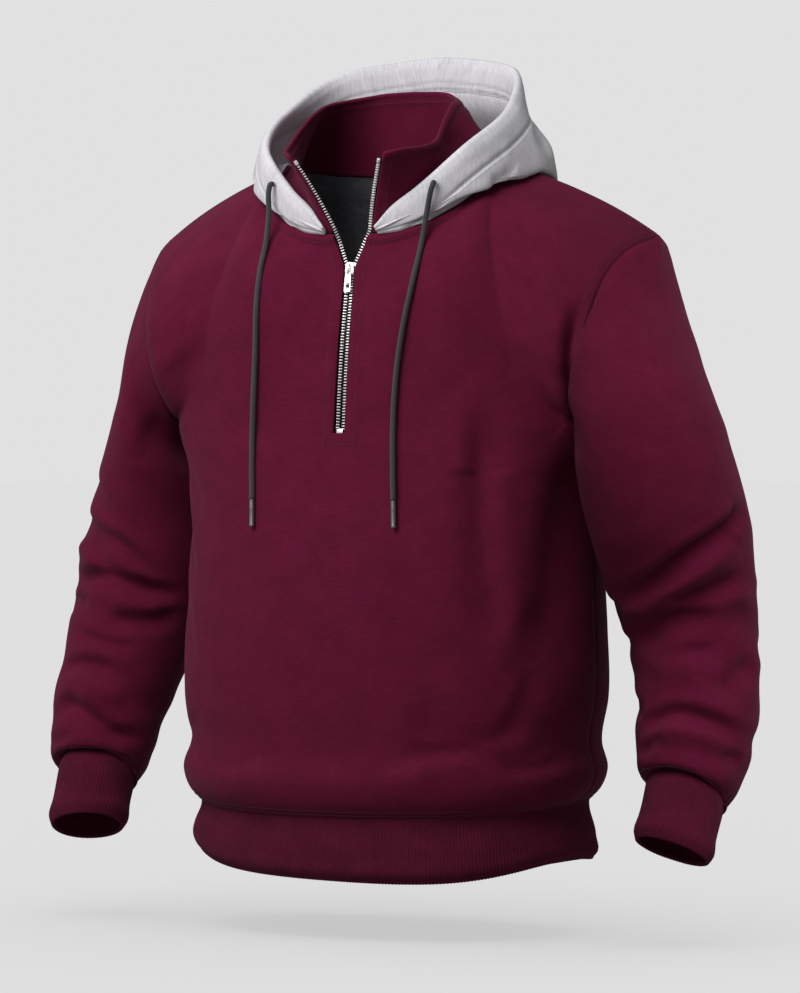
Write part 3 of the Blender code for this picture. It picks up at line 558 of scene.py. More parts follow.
def neck_point(turn, side):
    """The neckline from the centre (turn 0) to the high point of the shoulder (turn 1)."""
    y0, z0 = NECK_FRONT if side < 0 else NECK_BACK
    rise = 1 - np.cos(np.asarray(turn) * pi / 2)
    return np.column_stack([
        NECK_HALF_WIDTH * np.sin(np.asarray(turn) * pi / 2),
        y0 + (NECK_HIGH[0] - y0) * rise**1.3,
        z0 + (NECK_HIGH[1] - z0) * rise**1.2,
    ])


def top_edge(s, side):
    """Neckline and shoulder seam, as the upper edge of a body panel."""
    reach = np.abs(s)
    neck = neck_point(np.clip(reach / NECK_SHARE, 0, 1), side)
    share = np.clip((reach - NECK_SHARE) / (1 - NECK_SHARE), 0, 1)[:, None]
    start = np.array([NECK_HALF_WIDTH, *NECK_HIGH])
    shoulder = start + (np.array(SHOULDER_TIP) - start) * share
    shoulder[:, 2] += SHOULDER_ROLL * np.sin(share[:, 0] * pi) * (1 - share[:, 0])
    shoulder[:, 2] += SHOULDER_SLUMP * np.sin(share[:, 0] ** 2 * pi)
    points = np.where(share > 0, shoulder, neck)
    points[:, 0] *= np.sign(s)
    return points


def half_opening(height):
    """Half the gap between the two sides of the zip at a height."""
    heights, openings = np.array(ZIP_OPENING).T
    return np.interp(height, heights, openings)


def yoke(s, t, side):
    """The body above the armpits, from its section there (t 0) up to the top edge (t 1)."""
    armpit, top = torso_section(ARMPIT, s, side), top_edge(s, side)
    centre = 1 - np.abs(s)
    seat = smooth_step(np.abs(s) / NECK_SHARE)
    start_slope = np.column_stack([
        np.zeros_like(s), side * -ARMPIT_LEAN * centre, np.full_like(s, ARMPIT_RISE)
    ])
    bend = FRONT_BEND if side < 0 else BACK_BEND
    end_slope = np.column_stack([
        -np.sign(s) * 0.05 * seat * centre,
        -side * (bend + (SHOULDER_BEND - bend) * seat),
        0.26 - 0.10 * seat,
    ])
    return blend_of(armpit, start_slope, top, end_slope, t)


def body_panel(side, s, rows):
    """A body panel as rows of points; a row under 1 is below the armpits, 2 is the top edge."""
    s = np.asarray(s, float)
    armhole = FRONT_ARMHOLE if side < 0 else BACK_ARMHOLE
    outer = smooth_step((np.abs(s) - 0.35) / 0.65)
    trial = np.linspace(0.4, 1, 400)
    grid = []
    # above the armpits each row is drawn out so that its end lies on the armhole's edge
    for row in rows:
        if row <= 1:
            points = torso_section(HEM_TOP + (ARMPIT - HEM_TOP) * row, s, side)
            if side < 0:
                points[:, 2] -= SEAM_DROOP * np.cos(s * pi / 2) * (1 - row) ** 3
        else:
            edge = along(armhole, [row - 1])[0]
            nearest = np.argmin(np.linalg.norm(yoke(trial, row - 1, side) - edge, axis=1))
            points = yoke(s - np.sign(s) * (1 - trial[nearest]) * outer, row - 1, side)
            shift = (edge - yoke(trial[nearest : nearest + 1], row - 1, side)) * outer[:, None]
            shift[:, 0] *= np.sign(s)
            points = points + shift
        grid.append(points)
    return np.array(grid)


def front_skin(s, rows):
    """The front, its two middle columns drawn apart to the zip's edges; s is the same both ways."""
    front = body_panel(-1, s, rows)
    inner = len(s) // 2
    for row in front:
        edge = half_opening(row[inner, 2]) + CLOTH_TO_TEETH
        share = np.clip(1 - np.abs(s) / 0.4, 0, 1) ** 2
        row[:, 0] += np.sign(s) * (edge - row[inner, 0]) * share
    return front


# %% [markdown]
# ## Sleeves, cuffs, hem band, collar and hood
#
# A sleeve is a bent tube, told by its inner and outer side at each ring. The
# collar stands up from the neckline, and the hood leaves the same line, folds
# over at the back like a pouch and comes up again to its rim.

# %% Sizes of sleeves, collar and hood
# sleeve and cuff rings: inner x and z, outer x and z, y, half depth
SLEEVE_LEFT = (
    (0.2430, -0.290, 0.2990, -0.150, -0.018, 0.088),
    (0.2310, -0.322, 0.3480, -0.230, -0.031, 0.096),
    (0.2320, -0.368, 0.3770, -0.312, -0.022, 0.092),
    (0.2365, -0.422, 0.3830, -0.384, 0.006, 0.078),
    (0.2505, -0.470, 0.3835, -0.450, 0.016, 0.067),
    (0.2640, -0.512, 0.3885, -0.506, 0.010, 0.064),
    (0.2720, -0.562, 0.3915, -0.562, -0.004, 0.061),
    (0.2790, -0.596, 0.3850, -0.600, -0.016, 0.057),
    (0.2860, -0.616, 0.3775, -0.624, -0.025, 0.049),
    (0.2930, -0.622, 0.3710, -0.630, -0.030, 0.040),
)
SLEEVE_RIGHT = (
    (0.2440, -0.290, 0.2900, -0.150, 0.014, 0.082),
    (0.2330, -0.322, 0.3080, -0.230, 0.014, 0.082),
    (0.2340, -0.368, 0.3450, -0.312, 0.024, 0.076),
    (0.2370, -0.422, 0.3670, -0.384, 0.025, 0.071),
    (0.2480, -0.470, 0.3795, -0.450, 0.022, 0.066),
    (0.2600, -0.520, 0.3860, -0.512, 0.010, 0.063),
    (0.2740, -0.562, 0.3895, -0.562, -0.004, 0.059),
    (0.2810, -0.596, 0.3870, -0.602, -0.016, 0.055),
    (0.2880, -0.616, 0.3800, -0.625, -0.025, 0.048),
    (0.2930, -0.622, 0.3710, -0.630, -0.030, 0.040),
)
CUFF = (
    (0.2930, -0.622, 0.3710, -0.630, -0.030, 0.0400),
    (0.2920, -0.649, 0.3700, -0.659, -0.043, 0.0385),
    (0.2890, -0.672, 0.3690, -0.687, -0.055, 0.0370),
)
# the collar's top edge: share from the zip to the centre back, x, y, z
COLLAR_LEFT = (
    (0.00, 0.0550, -0.1305, -0.004),
    (0.06, 0.0650, -0.1200, -0.001),
    (0.17, 0.0780, -0.0910, 0.004),
    (0.30, 0.0810, -0.0610, 0.015),
    (0.39, 0.0795, -0.0430, 0.034),
    (0.48, 0.0775, -0.0240, 0.051),
    (0.66, 0.0660, 0.0120, 0.060),
    (0.80, 0.0420, 0.0360, 0.066),
    (1.00, 0.0000, 0.0430, 0.068),
)
COLLAR_RIGHT = (
    *COLLAR_LEFT[:2],
    (0.17, 0.0760, -0.0900, 0.010),
    (0.30, 0.0785, -0.0620, 0.029),
    (0.39, 0.0780, -0.0430, 0.041),
    (0.48, 0.0760, -0.0250, 0.050),
    *COLLAR_LEFT[6:],
)
# how far the collar is drawn in at its middle, and how far its cloth lies inside
# and above the sheet of its solid; the hood starts outside it, above the seam
COLLAR_WAIST = 0.009
COLLAR_SHIFT = 0.0012
OUTSIDE_COLLAR = 0.0034
ABOVE_SEAM = 0.0010
HOOD = (
    # share from the zip to the centre back, rim x, y and z, reach out and drop down
    (0.000, 0.0300, -0.1010, -0.0730, 0.000, 0.000),
    (0.060, 0.0420, -0.0985, -0.0590, 0.001, 0.000),
    (0.155, 0.0690, -0.0910, -0.0370, 0.004, 0.001),
    (0.310, 0.1100, -0.0700, 0.0040, 0.014, 0.005),
    (0.470, 0.1280, -0.0200, 0.0380, 0.028, 0.018),
    (0.590, 0.1220, 0.0200, 0.0620, 0.042, 0.030),
    (0.755, 0.0930, 0.0740, 0.090, 0.050, 0.060),
    (0.870, 0.0500, 0.0950, 0.099, 0.085, 0.100),
    (1.000, 0.0000, 0.1000, 0.1040, 0.105, 0.122),
)
HOOD_START = 0.02

# %% Read sleeves, collar and hood at any place
def sleeve_rings(table, turns):
    """A table's rings as points; a turn of 180 is the inner side, 90 the front, 0 the outer."""
    rows = np.array(table)
    inner = np.column_stack([rows[:, 0], rows[:, 4], rows[:, 1]])
    outer = np.column_stack([rows[:, 2], rows[:, 4], rows[:, 3]])
    middle = (inner + outer) / 2
    across = (outer - inner) / 2
    down = np.gradient(middle, axis=0)
    front = unit(np.cross(across, down))
    front *= -np.sign(front[:, 1:2]) * rows[:, 5:6]
    angle = np.radians(turns)[None, :, None]
    return middle[:, None] + np.cos(angle) * across[:, None] + np.sin(angle) * front[:, None]


def sleeve_grid(loop, turns, rows, table):
    """A sleeve of the left side, from its armhole loop (row 0) down to the cuff (row 1)."""
    rings = np.concatenate([loop[None], sleeve_rings(table, turns)])
    done = travelled(rings.mean(axis=1))
    return through(done / done[-1], rings, rows)


def neckline(shares):
    """The neckline from the zip (share 0) over the shoulder to the centre back (share 1)."""
    front = neck_point(np.linspace(0.09, 1, 24), -1)
    front[0] = (ZIP_OPENING[-1][1] + CLOTH_TO_TEETH, NECK_FRONT[0], NECK_FRONT[1] + 0.001)
    back = neck_point(np.linspace(1, 0, 16)[1:], 1)
    return along(np.concatenate([front, back]), shares)


def collar_grid(shares, rows, top_edge_table):
    """A half of the stand collar as on the left, from the zip (share 0) to the centre back."""
    shares = np.asarray(shares, float)
    base = neckline(shares)
    inner = smooth_step(shares / 0.4)[:, None] * base * (1, 1, 0)
    base = base - 0.0020 * inner / np.linalg.norm(base[:, :2], axis=1)[:, None]
    top = read_table(top_edge_table, shares)
    outward = unit(base * (1, 1, 0))
    waist = COLLAR_WAIST * smooth_step(shares / 0.10) * (1 - smooth_step((shares - 0.35) / 0.3))
    waist = waist[:, None]
    grid = []
    for row in rows:
        points = base + (top - base) * row - outward * waist * np.sin(row**0.8 * pi)
        points[:, 2] += 0.004 * np.sin(row * pi)
        grid.append(points)
    return np.array(grid)


def hood_grid(shares, rows):
    """The left half of the hood, from the neckline (row 0) out, down and up to the rim (row 1)."""
    base = neckline(HOOD_START + (1 - HOOD_START) * np.asarray(shares))
    read = read_table(HOOD, shares)
    rim, reach, drop = read[:, :3], read[:, 3:4], read[:, 4:]
    outward = unit(base * (1, 1, 0) - (0, -0.015, 0))
    up = np.array([0, 0, 1.0])
    stand = 0.38 - 0.30 * smooth_step((np.asarray(shares)[:, None] - 0.48) / 0.34)
    lines = [base]
    for to_rim, out, down, lift in (
        (0.15, 0.50, 0.55, 0.002), (0.25, 1, 1, 0), (0.45, 0.82, 0.50, 0), (0.75, stand, 0.12, 0)
    ):
        lines.append(
            base + to_rim * (rim - base) + outward * out * reach + up * (lift - down * drop)
        )
    grid = through((0, 0.22, 0.42, 0.58, 0.80, 1), np.array([*lines, rim]), rows)
    return grid + outward * OUTSIDE_COLLAR + up * ABOVE_SEAM


def mirrored(grid):
    """The same panel on the wearer's right, its columns turned so that it still faces out."""
    return grid[:, ::-1] * (-1, 1, 1)

# %% [markdown]
# ## Folds
#
# A fold in heavy fleece is a soft trough with a swelling on each side, and the
# swelling above hangs a little over it, so one flank is steeper. Each fold is
# given as a line of points on the cloth, the half width of the trough and
# its depth. A negative depth makes a ridge. The relief fades out at both ends of
# the line, and a slow unevenness keeps any two folds from looking alike.

# %% Fold helpers
STEEP_SIDE, GENTLE_SIDE, FOLD_FADE = 0.8, 1.25, 0.28
FOLD_POINTS = 24


def cloth_normals(grid, closed=False):
    """Outward directions on a grid whose rows run up and whose columns run to the wearer's left."""
    if closed:
        wide = np.concatenate([grid[:, -1:], grid, grid[:, :1]], axis=1)
        across = (wide[:, 2:] - wide[:, :-2]) / 2
    else:
        across = np.gradient(grid, axis=1)
    return unit(np.cross(across, np.gradient(grid, axis=0)))


def fold_relief(points, normals, folds):
    """The height that the listed folds give each point; a fold is (line, half_width, depth)."""
    height = np.zeros(points.shape[:-1])
    for line, half_width, depth in folds:
        if len(line) > 2:
            line = along(line, np.linspace(0, 1, FOLD_POINTS))
        else:
            line = np.linspace(*line, FOLD_POINTS)
        low, high = line.min(axis=0) - 4 * half_width, line.max(axis=0) + 4 * half_width
        beside = ((points > low) & (points < high)).all(axis=-1)
        if not beside.any():
            continue
        spots, facing = points[beside], normals[beside]
        best, place = np.full(len(spots), np.inf), np.zeros(len(spots))
        offset, course = np.zeros((2, len(spots), 3))
        for k in range(len(line) - 1):
            step = line[k + 1] - line[k]
            t = np.clip((spots - line[k]) @ step / (step @ step), 0, 1)
            away = spots - (line[k] + t[:, None] * step)
            far = np.linalg.norm(away, axis=1)
            closer = far < best
            best[closer] = far[closer]
            place[closer] = (k + t[closer]) / (len(line) - 1)
            offset[closer] = away[closer]
            course[closer] = step
        above = (offset * np.cross(facing, course)).sum(axis=1) * np.sign(course[:, 0] + 1e-9) > 0
        reach = best / (half_width * np.where(above, STEEP_SIDE, GENTLE_SIDE))
        fade = smooth_step(place / FOLD_FADE) * smooth_step((1 - place) / FOLD_FADE)
        height[beside] -= depth * fade * (1 - 0.62 * reach**2) * np.exp(-0.5 * (reach * 1.15) ** 2)
    return height


def unevenness(points, sizes, seed):
    """Slow bumps in a cloth: each size is (metres between bumps, height)."""
    flat = points.reshape(-1, 3)
    height = np.zeros(len(flat))
    for pitch, rise in sizes:
        height += rise * np.array([
            noise.noise(Vector((x / pitch + seed, y / pitch, z / pitch))) for x, y, z in flat
        ])
    return height.reshape(points.shape[:-1])


# %% [markdown]
# ## From a sheet of points to a piece of cloth
#
# Every piece is cut from two skins: the outside, which is the sheet of points
# itself, and the inside, one cloth's thickness in. A rounded border closes them,
# because a folded or overlocked edge of fleece is never sharp. The distances over
# the sheet become its UV map, so a texture is as large on one piece as on another.

# %% Build cloth from a sheet of points
# (share of the half thickness up, share of the swelling out) of each border row
BORDER = ((0.66, 0.72), (0, 1.0), (-0.66, 0.72))


def cloth(name, grid, normals, wall, outside, inside, closed=False, missing=(), bulge=0.5):
    """A shell of the given wall below the sheet; bulge is how far its border swells out."""
    rows, columns = grid.shape[:2]
    wall = np.broadcast_to(wall, grid.shape[:2])
    across = np.concatenate([grid, grid[:, :1]], axis=1) if closed else grid
    u = travelled(across.transpose(1, 0, 2)).T
    u -= u[:, u.shape[1] // 2 : u.shape[1] // 2 + 1]
    v = travelled(across)
    points = [grid.reshape(-1, 3), (grid - normals * wall[..., None]).reshape(-1, 3)]
    count = rows * columns
    wrap = columns if closed else columns - 1
    kept = np.ones((rows - 1, wrap), bool)
    for row, column in missing:
        kept[row, column] = False
    r, c = np.nonzero(kept)
    n = (c + 1) % columns
    low, high = r * columns, (r + 1) * columns
    quads = np.column_stack([low + c, low + n, high + n, high + c])
    corners = ((r, c), (r, c + 1), (r + 1, c + 1), (r + 1, c))
    spots = np.stack([np.column_stack([u[place], v[place]]) for place in corners], axis=1)
    faces = quads.tolist() + (quads[:, ::-1] + count).tolist()
    uvs = [spots.reshape(-1, 2), spots[:, ::-1].reshape(-1, 2)]
    slots = [0] * len(quads) + [1] * len(quads)

    sides = dict.fromkeys(
        side for quad in quads.tolist() for side in zip(quad, quad[1:] + quad[:1])
    )
    nexts = {}
    for a, b in sides:
        if (b, a) not in sides:
            nexts.setdefault(a, []).append(b)
    borders = [(a, b) for a in nexts for b in nexts[a]]
    flat, facing, thick = grid.reshape(-1, 3), normals.reshape(-1, 3), wall.reshape(-1)
    outward = {}
    for a, b in borders:
        push = np.cross(flat[b] - flat[a], facing[a] + facing[b])
        length = np.linalg.norm(push)
        if length > 0:
            push = push / length
        for end in (a, b):
            outward[end] = outward.get(end, 0) + push
    arcs, extra = {}, []
    for vertex, push in outward.items():
        length = np.linalg.norm(push)
        push = push / length if length > 0 else push
        half = thick[vertex] / 2
        middle = flat[vertex] - facing[vertex] * half
        start = 2 * count + len(extra)
        for rise, swell in BORDER:
            extra.append(middle + facing[vertex] * half * rise + push * half * 2 * bulge * swell)
        arcs[vertex] = [vertex, *range(start, start + len(BORDER)), vertex + count]
    points.append(np.array(extra).reshape(-1, 3))
    place = np.column_stack([u[:, :columns].reshape(-1), v[:, :columns].reshape(-1)])
    for a, b in borders:
        for k in range(len(BORDER) + 1):
            faces.append([arcs[a][k], arcs[a][k + 1], arcs[b][k + 1], arcs[b][k]])
            uvs.append(place[[a, a, b, b]])
            slots.append(0)
    points, uvs = np.concatenate(points), np.concatenate(uvs)
    return finished_mesh(name, points, faces, [outside, inside], uvs, slots)

# %% [markdown]
# ## Cut pieces
#
# Each cut piece hides the solid that it stands for in the imported model,
# and it is hung on the garment's body.


def sheet_of(piece, node_name):
    """Hides the solid that a cut piece stands for and hangs the piece on the garment's body."""
    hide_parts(node_name)
    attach(piece, "garment")


panels = {}


def sew(node_name, skin, normals, wall, materials, **how):
    """Builds a cut piece from its sheet, and keeps that sheet for the stitches."""
    panels[node_name] = (skin, normals)
    piece = cloth(f"cloth_{node_name}", skin, normals, wall, *materials, **how)
    sheet_of(piece, node_name)


# %% [markdown]
# ## Where the body folds
#
# A body that is filled out folds little: a soft dip beside each armhole, creases
# from the armpits and short ones above the hem. They are listed here one by one.

# %% Where the body folds
# folds of the body: (x, z) points, half width, depth
FRONT_FOLDS = (
    (
        ((0.243, -0.140), (0.238, -0.170), (0.236, -0.205), (0.237, -0.245), (0.236, -0.275)),
        0.0130, 0.0100,
    ),
    (((0.060, -0.612), (0.106, -0.603), (0.150, -0.590), (0.201, -0.570)), 0.012, -0.0032),
    (((0.080, -0.586), (0.125, -0.588), (0.170, -0.590)), 0.009, 0.0022),
    (((0.165, -0.601), (0.192, -0.603), (0.212, -0.592)), 0.008, 0.0022),
    (((-0.060, -0.598), (-0.110, -0.606), (-0.165, -0.598)), 0.011, 0.0018),
    (((-0.150, -0.560), (-0.190, -0.575), (-0.212, -0.595)), 0.012, 0.0020),
    (((0.232, -0.270), (0.214, -0.330), (0.206, -0.430), (0.200, -0.540)), 0.034, 0.0085),
    (
        ((0.152, -0.225), (0.149, -0.300), (0.152, -0.380), (0.162, -0.440), (0.176, -0.510)),
        0.019, 0.0078,
    ),
    (((0.120, -0.240), (0.132, -0.330), (0.134, -0.420)), 0.014, -0.0016),
    (((0.196, -0.500), (0.186, -0.545), (0.166, -0.588)), 0.014, 0.0030),
    (((0.105, -0.480), (0.112, -0.540), (0.100, -0.590)), 0.018, 0.0020),
    (((-0.228, -0.290), (-0.200, -0.320), (-0.160, -0.360)), 0.015, 0.0030),
    (((-0.222, -0.330), (-0.205, -0.370), (-0.180, -0.440)), 0.018, 0.0030),
    (((0.235, -0.230), (0.205, -0.215), (0.165, -0.190)), 0.014, 0.0022),
    (((-0.235, -0.230), (-0.205, -0.212), (-0.160, -0.185)), 0.014, 0.0022),
    (((0.212, -0.430), (0.190, -0.470), (0.182, -0.530)), 0.018, 0.0026),
    (((-0.212, -0.425), (-0.192, -0.465), (-0.180, -0.520)), 0.018, 0.0024),
)
BACK_FOLDS = (
    (((0.228, -0.290), (0.200, -0.315), (0.155, -0.350)), 0.015, 0.0034),
    (((-0.228, -0.288), (-0.202, -0.318), (-0.160, -0.362)), 0.015, 0.0034),
    (((0.215, -0.335), (0.190, -0.380), (0.172, -0.450)), 0.017, 0.0024),
    (((-0.216, -0.340), (-0.188, -0.388), (-0.176, -0.446)), 0.017, 0.0024),
    (((-0.060, -0.600), (-0.115, -0.590), (-0.180, -0.575)), 0.011, -0.0026),
    (((0.050, -0.606), (0.110, -0.596), (0.175, -0.588)), 0.011, 0.0020),
    (((-0.020, -0.575), (0.030, -0.560), (0.080, -0.566)), 0.014, 0.0018),
    (((0.060, -0.095), (0.000, -0.118), (-0.060, -0.098)), 0.016, 0.0020),
)

# %% [markdown]
# ## The front and back
#
# Both body panels are read from the same surface, about 3 mm between points.
# The relief is added along the cloth's own normal: the soft listed folds,
# the puckers that the tight hem band gathers just above its seam, the groove that
# each seam pulls in, and the raised ridge of folded cloth along the front
# neckline.

# %% Build the front and back
FLEECE = 0.0026
BODY_HALF_COLUMNS = 78
LOW_ROWS, UP_ROWS = 104, 66
BODY_UNEVENNESS = ((0.16, 0.0016), (0.07, 0.0007))
# width and depth of the groove at a seam; height and spacing of the puckers beside it
SIDE_SEAM, HEM_SEAM, SHOULDER_SEAM = (0.0035, 0.0010), (0.004, 0.0012), (0.0035, 0.0010)
HEM_PUCKERS = (0.0011, 0.011)
BODY_BULGE = 0.35
NECK_STITCH, ZIP_STITCH = 0.0105, 0.0095
METRES_PER_S = 0.44


def on_sheet(grid, places):
    """The sheet's points nearest to places given by their x and z."""
    flat = grid.reshape(-1, 3)
    return np.array([flat[np.argmin(np.linalg.norm(flat[:, (0, 2)] - p, axis=1))] for p in places])


def around(grid):
    """The distance of each point from the first column, along its row."""
    return travelled(grid.transpose(1, 0, 2)).T


def gathers(loop_metres, rise, pitch, seed):
    """Uneven little puckers around a gathered seam, by the distance along it."""
    return rise * np.array([
        0.5 + noise.noise(Vector((at, seed, 0))) + 0.5 * noise.noise(Vector((at * 2.3, seed, 7)))
        for at in np.ravel(loop_metres) / pitch
    ]).reshape(np.shape(loop_metres))


def groove(distance, width, depth):
    """The hollow that a seam pulls into the cloth beside it."""
    return -depth * near(distance, width)


half = np.linspace(SLIT, 1, BODY_HALF_COLUMNS)
front_s = np.concatenate([-half[::-1], half])
half = np.linspace(0, 1, BODY_HALF_COLUMNS + 1)
back_s = np.concatenate([-half[:0:-1], half])
zip_row = (ZIP_BOTTOM - HEM_TOP) / (ARMPIT - HEM_TOP)
low_rows = np.concatenate([np.linspace(0, zip_row, LOW_ROWS), np.linspace(zip_row, 1, 4)[1:]])
body_rows = np.concatenate([low_rows, np.linspace(1, 2, UP_ROWS + 1)[1:]])
centre = len(front_s) // 2 - 1


def body_relief(grid, normals, folds, seed, front):
    """The height of the cloth's relief over a body panel."""
    across = around(grid)
    up, from_top = from_ends(grid)
    from_side = np.minimum(across, across[:, -1:] - across)
    lines = [(on_sheet(grid, line), wide, deep) for line, wide, deep in folds]
    calm = smooth_step(from_side / 0.030) * smooth_step(from_top / 0.03)
    height = fold_relief(grid, normals, lines) * smooth_step(from_side / 0.012)
    height += unevenness(grid, BODY_UNEVENNESS, seed) * calm
    above_hem = near(up, 0.016) * smooth_step(from_side / 0.01)
    height += gathers(across, *HEM_PUCKERS, seed) * above_hem
    height += groove(from_side, *SIDE_SEAM) + groove(up, *HEM_SEAM)
    at_neck = np.abs(front_s if front else back_s) < NECK_SHARE
    ridge = 0.0030 * near(from_top - 0.0050, 0.0042, 4)
    ridge += groove(from_top - NECK_STITCH, 0.0016, 0.0008)
    if not front:
        ridge *= 0.5
    height += np.where(at_neck[None, :], ridge, groove(from_top, *SHOULDER_SEAM))
    return height


slit_row = int(np.argmin(np.abs(body_rows - zip_row)))
slit = [(row, centre) for row in range(slit_row, len(body_rows) - 1)]
for name, side, s, folds, seed in (
    ("front_body", -1, front_s, FRONT_FOLDS, 3.1), ("back_body", 1, back_s, BACK_FOLDS, 8.4),
):
    front = side < 0
    skin = front_skin(s, body_rows) if front else body_panel(1, s, body_rows)[:, ::-1]
    normals = cloth_normals(skin)
    height = body_relief(skin, normals, folds, seed, front)
    if front:
        from_slit = np.abs(np.abs(s) - SLIT)[None, :] * METRES_PER_S
        above_foot = smooth_step((skin[:, :, 2] - ZIP_BOTTOM + 0.012) / 0.006)
        facing_ridge = 0.0010 * above_foot * near(from_slit, 0.011, 4)
        height += facing_ridge * (1 - 0.9 * near(from_slit - ZIP_STITCH, 0.0016))
    sew(
        name, skin + normals * height[..., None], normals, FLEECE,
        (burgundy_fleece, charcoal_fleece), missing=slit if front else (), bulge=BODY_BULGE,
    )

# %% [markdown]
# ## The sleeves
#
# A sleeve's folds bunch where the arm bends and again above the cuff, where the
# extra length settles. They cross the sleeve in short uneven arcs that rarely go
# all the way round. Each is told by a turn about the sleeve, in degrees, and a
# share of the way from armhole to cuff: 180 is the side towards the body, 90 the
# front, 0 the outer side and -90 the back. The two sleeves differ, as worn ones do.

# %% Where the sleeves fold
# folds of the sleeves: (turn, share) points, half width, depth
SLEEVE_FOLDS = {
    "left": (
        (
            ((-15, 0.46), (25, 0.462), (58, 0.470), (88, 0.495), (106, 0.520), (124, 0.545)),
            0.0130, 0.0125,
        ),
        (((20, 0.505), (58, 0.507), (92, 0.540), (116, 0.570), (140, 0.592)), 0.0125, -0.0092),
        (((10, 0.562), (40, 0.566), (66, 0.560), (86, 0.562)), 0.0095, 0.0046),
        (((40, 0.640), (66, 0.628), (90, 0.628), (110, 0.660), (130, 0.690)), 0.0110, 0.0074),
        (((0, 0.598), (30, 0.604), (60, 0.594)), 0.0110, -0.0034),
        (((46, 0.706), (62, 0.712), (80, 0.708)), 0.0080, 0.0030),
        (((4, 0.728), (28, 0.766), (50, 0.818)), 0.0140, 0.0056),
        (((60, 0.762), (86, 0.758), (112, 0.772)), 0.0130, -0.0036),
        (
            ((8, 0.888), (30, 0.874), (56, 0.862), (86, 0.855), (112, 0.872), (140, 0.884)),
            0.0100, 0.0080,
        ),
        (((20, 0.915), (50, 0.905), (80, 0.898), (104, 0.905)), 0.0085, -0.0028),
        (((92, 0.912), (112, 0.928), (136, 0.948)), 0.0080, 0.0040),
        (((0, 0.930), (16, 0.926), (36, 0.940)), 0.0080, 0.0034),
        (((170, 0.530), (150, 0.560), (132, 0.565)), 0.0110, 0.0040),
        (((175, 0.660), (150, 0.672), (128, 0.684)), 0.0105, 0.0042),
        (((178, 0.800), (150, 0.830), (124, 0.862)), 0.0110, 0.0046),
        (((-20, 0.470), (-55, 0.490), (-95, 0.486), (-130, 0.510)), 0.0130, 0.0050),
        (((-10, 0.560), (-50, 0.585), (-90, 0.580)), 0.0120, 0.0042),
        (((-60, 0.640), (-105, 0.655), (-150, 0.640)), 0.0120, 0.0048),
        (((-5, 0.700), (-40, 0.715), (-80, 0.735)), 0.0110, 0.0040),
        (((-70, 0.800), (-110, 0.790), (-150, 0.805)), 0.0110, 0.0036),
        (((-8, 0.870), (-50, 0.885), (-100, 0.870), (-150, 0.880)), 0.0095, 0.0056),
        (((-30, 0.935), (-80, 0.940), (-120, 0.930)), 0.0085, 0.0036),
        (((150, 0.040), (128, 0.130), (112, 0.260)), 0.0170, 0.0030),
        (((-150, 0.050), (-126, 0.140), (-108, 0.270)), 0.0170, 0.0030),
        (((60, 0.030), (50, 0.110), (44, 0.230)), 0.0180, 0.0016),
        (((-40, 0.280), (10, 0.330), (50, 0.350)), 0.0180, -0.0016),
    ),
    "right": (
        (((10, 0.372), (42, 0.378), (74, 0.396), (100, 0.420)), 0.0120, 0.0030),
        (
            ((6, 0.462), (40, 0.462), (70, 0.463), (94, 0.468), (118, 0.502), (136, 0.542)),
            0.0110, 0.0066,
        ),
        (
            ((40, 0.475), (66, 0.488), (88, 0.530), (118, 0.552), (146, 0.556), (168, 0.545)),
            0.0095, 0.0046,
        ),
        (((20, 0.512), (50, 0.520), (76, 0.548)), 0.0100, -0.0036),
        (
            ((16, 0.590), (50, 0.576), (84, 0.560), (112, 0.563), (144, 0.574), (170, 0.570)),
            0.0100, 0.0066,
        ),
        (((20, 0.640), (46, 0.626), (70, 0.628)), 0.0090, 0.0046),
        (((86, 0.652), (104, 0.656), (124, 0.650), (148, 0.628), (168, 0.608)), 0.0100, 0.0048),
        (((90, 0.608), (118, 0.606), (146, 0.596)), 0.0110, -0.0036),
        (((60, 0.705), (86, 0.720), (112, 0.727), (134, 0.720)), 0.0090, 0.0036),
        (((40, 0.790), (62, 0.782), (84, 0.775), (104, 0.785), (126, 0.806)), 0.0095, 0.0050),
        (((80, 0.832), (110, 0.846), (140, 0.850)), 0.0120, -0.0034),
        (
            ((40, 0.880), (76, 0.876), (104, 0.904), (130, 0.930), (156, 0.938), (176, 0.942)),
            0.0100, 0.0078,
        ),
        (((30, 0.958), (60, 0.952), (90, 0.960)), 0.0080, 0.0034),
        (((-20, 0.455), (-60, 0.476), (-100, 0.480), (-135, 0.500)), 0.0130, 0.0050),
        (((-12, 0.548), (-55, 0.572), (-95, 0.560)), 0.0120, 0.0042),
        (((-55, 0.652), (-100, 0.640), (-150, 0.655)), 0.0120, 0.0046),
        (((-10, 0.690), (-45, 0.722), (-85, 0.728)), 0.0110, 0.0040),
        (((-60, 0.805), (-105, 0.800), (-148, 0.792)), 0.0110, 0.0036),
        (((-6, 0.880), (-55, 0.874), (-100, 0.884), (-152, 0.872)), 0.0095, 0.0056),
        (((-34, 0.940), (-76, 0.932), (-118, 0.940)), 0.0085, 0.0036),
        (((150, 0.040), (126, 0.140), (110, 0.270)), 0.0170, 0.0030),
        (((-150, 0.050), (-128, 0.130), (-110, 0.250)), 0.0170, 0.0030),
        (((64, 0.030), (56, 0.120), (52, 0.240)), 0.0180, 0.0018),
    ),
}

# %% [markdown]
# ## From folds to sleeves
#
# A sleeve's sheet starts on the armhole's edge, so that it meets the body, and runs
# down its rings to the cuff. Both are worked out on the left, and one is mirrored.

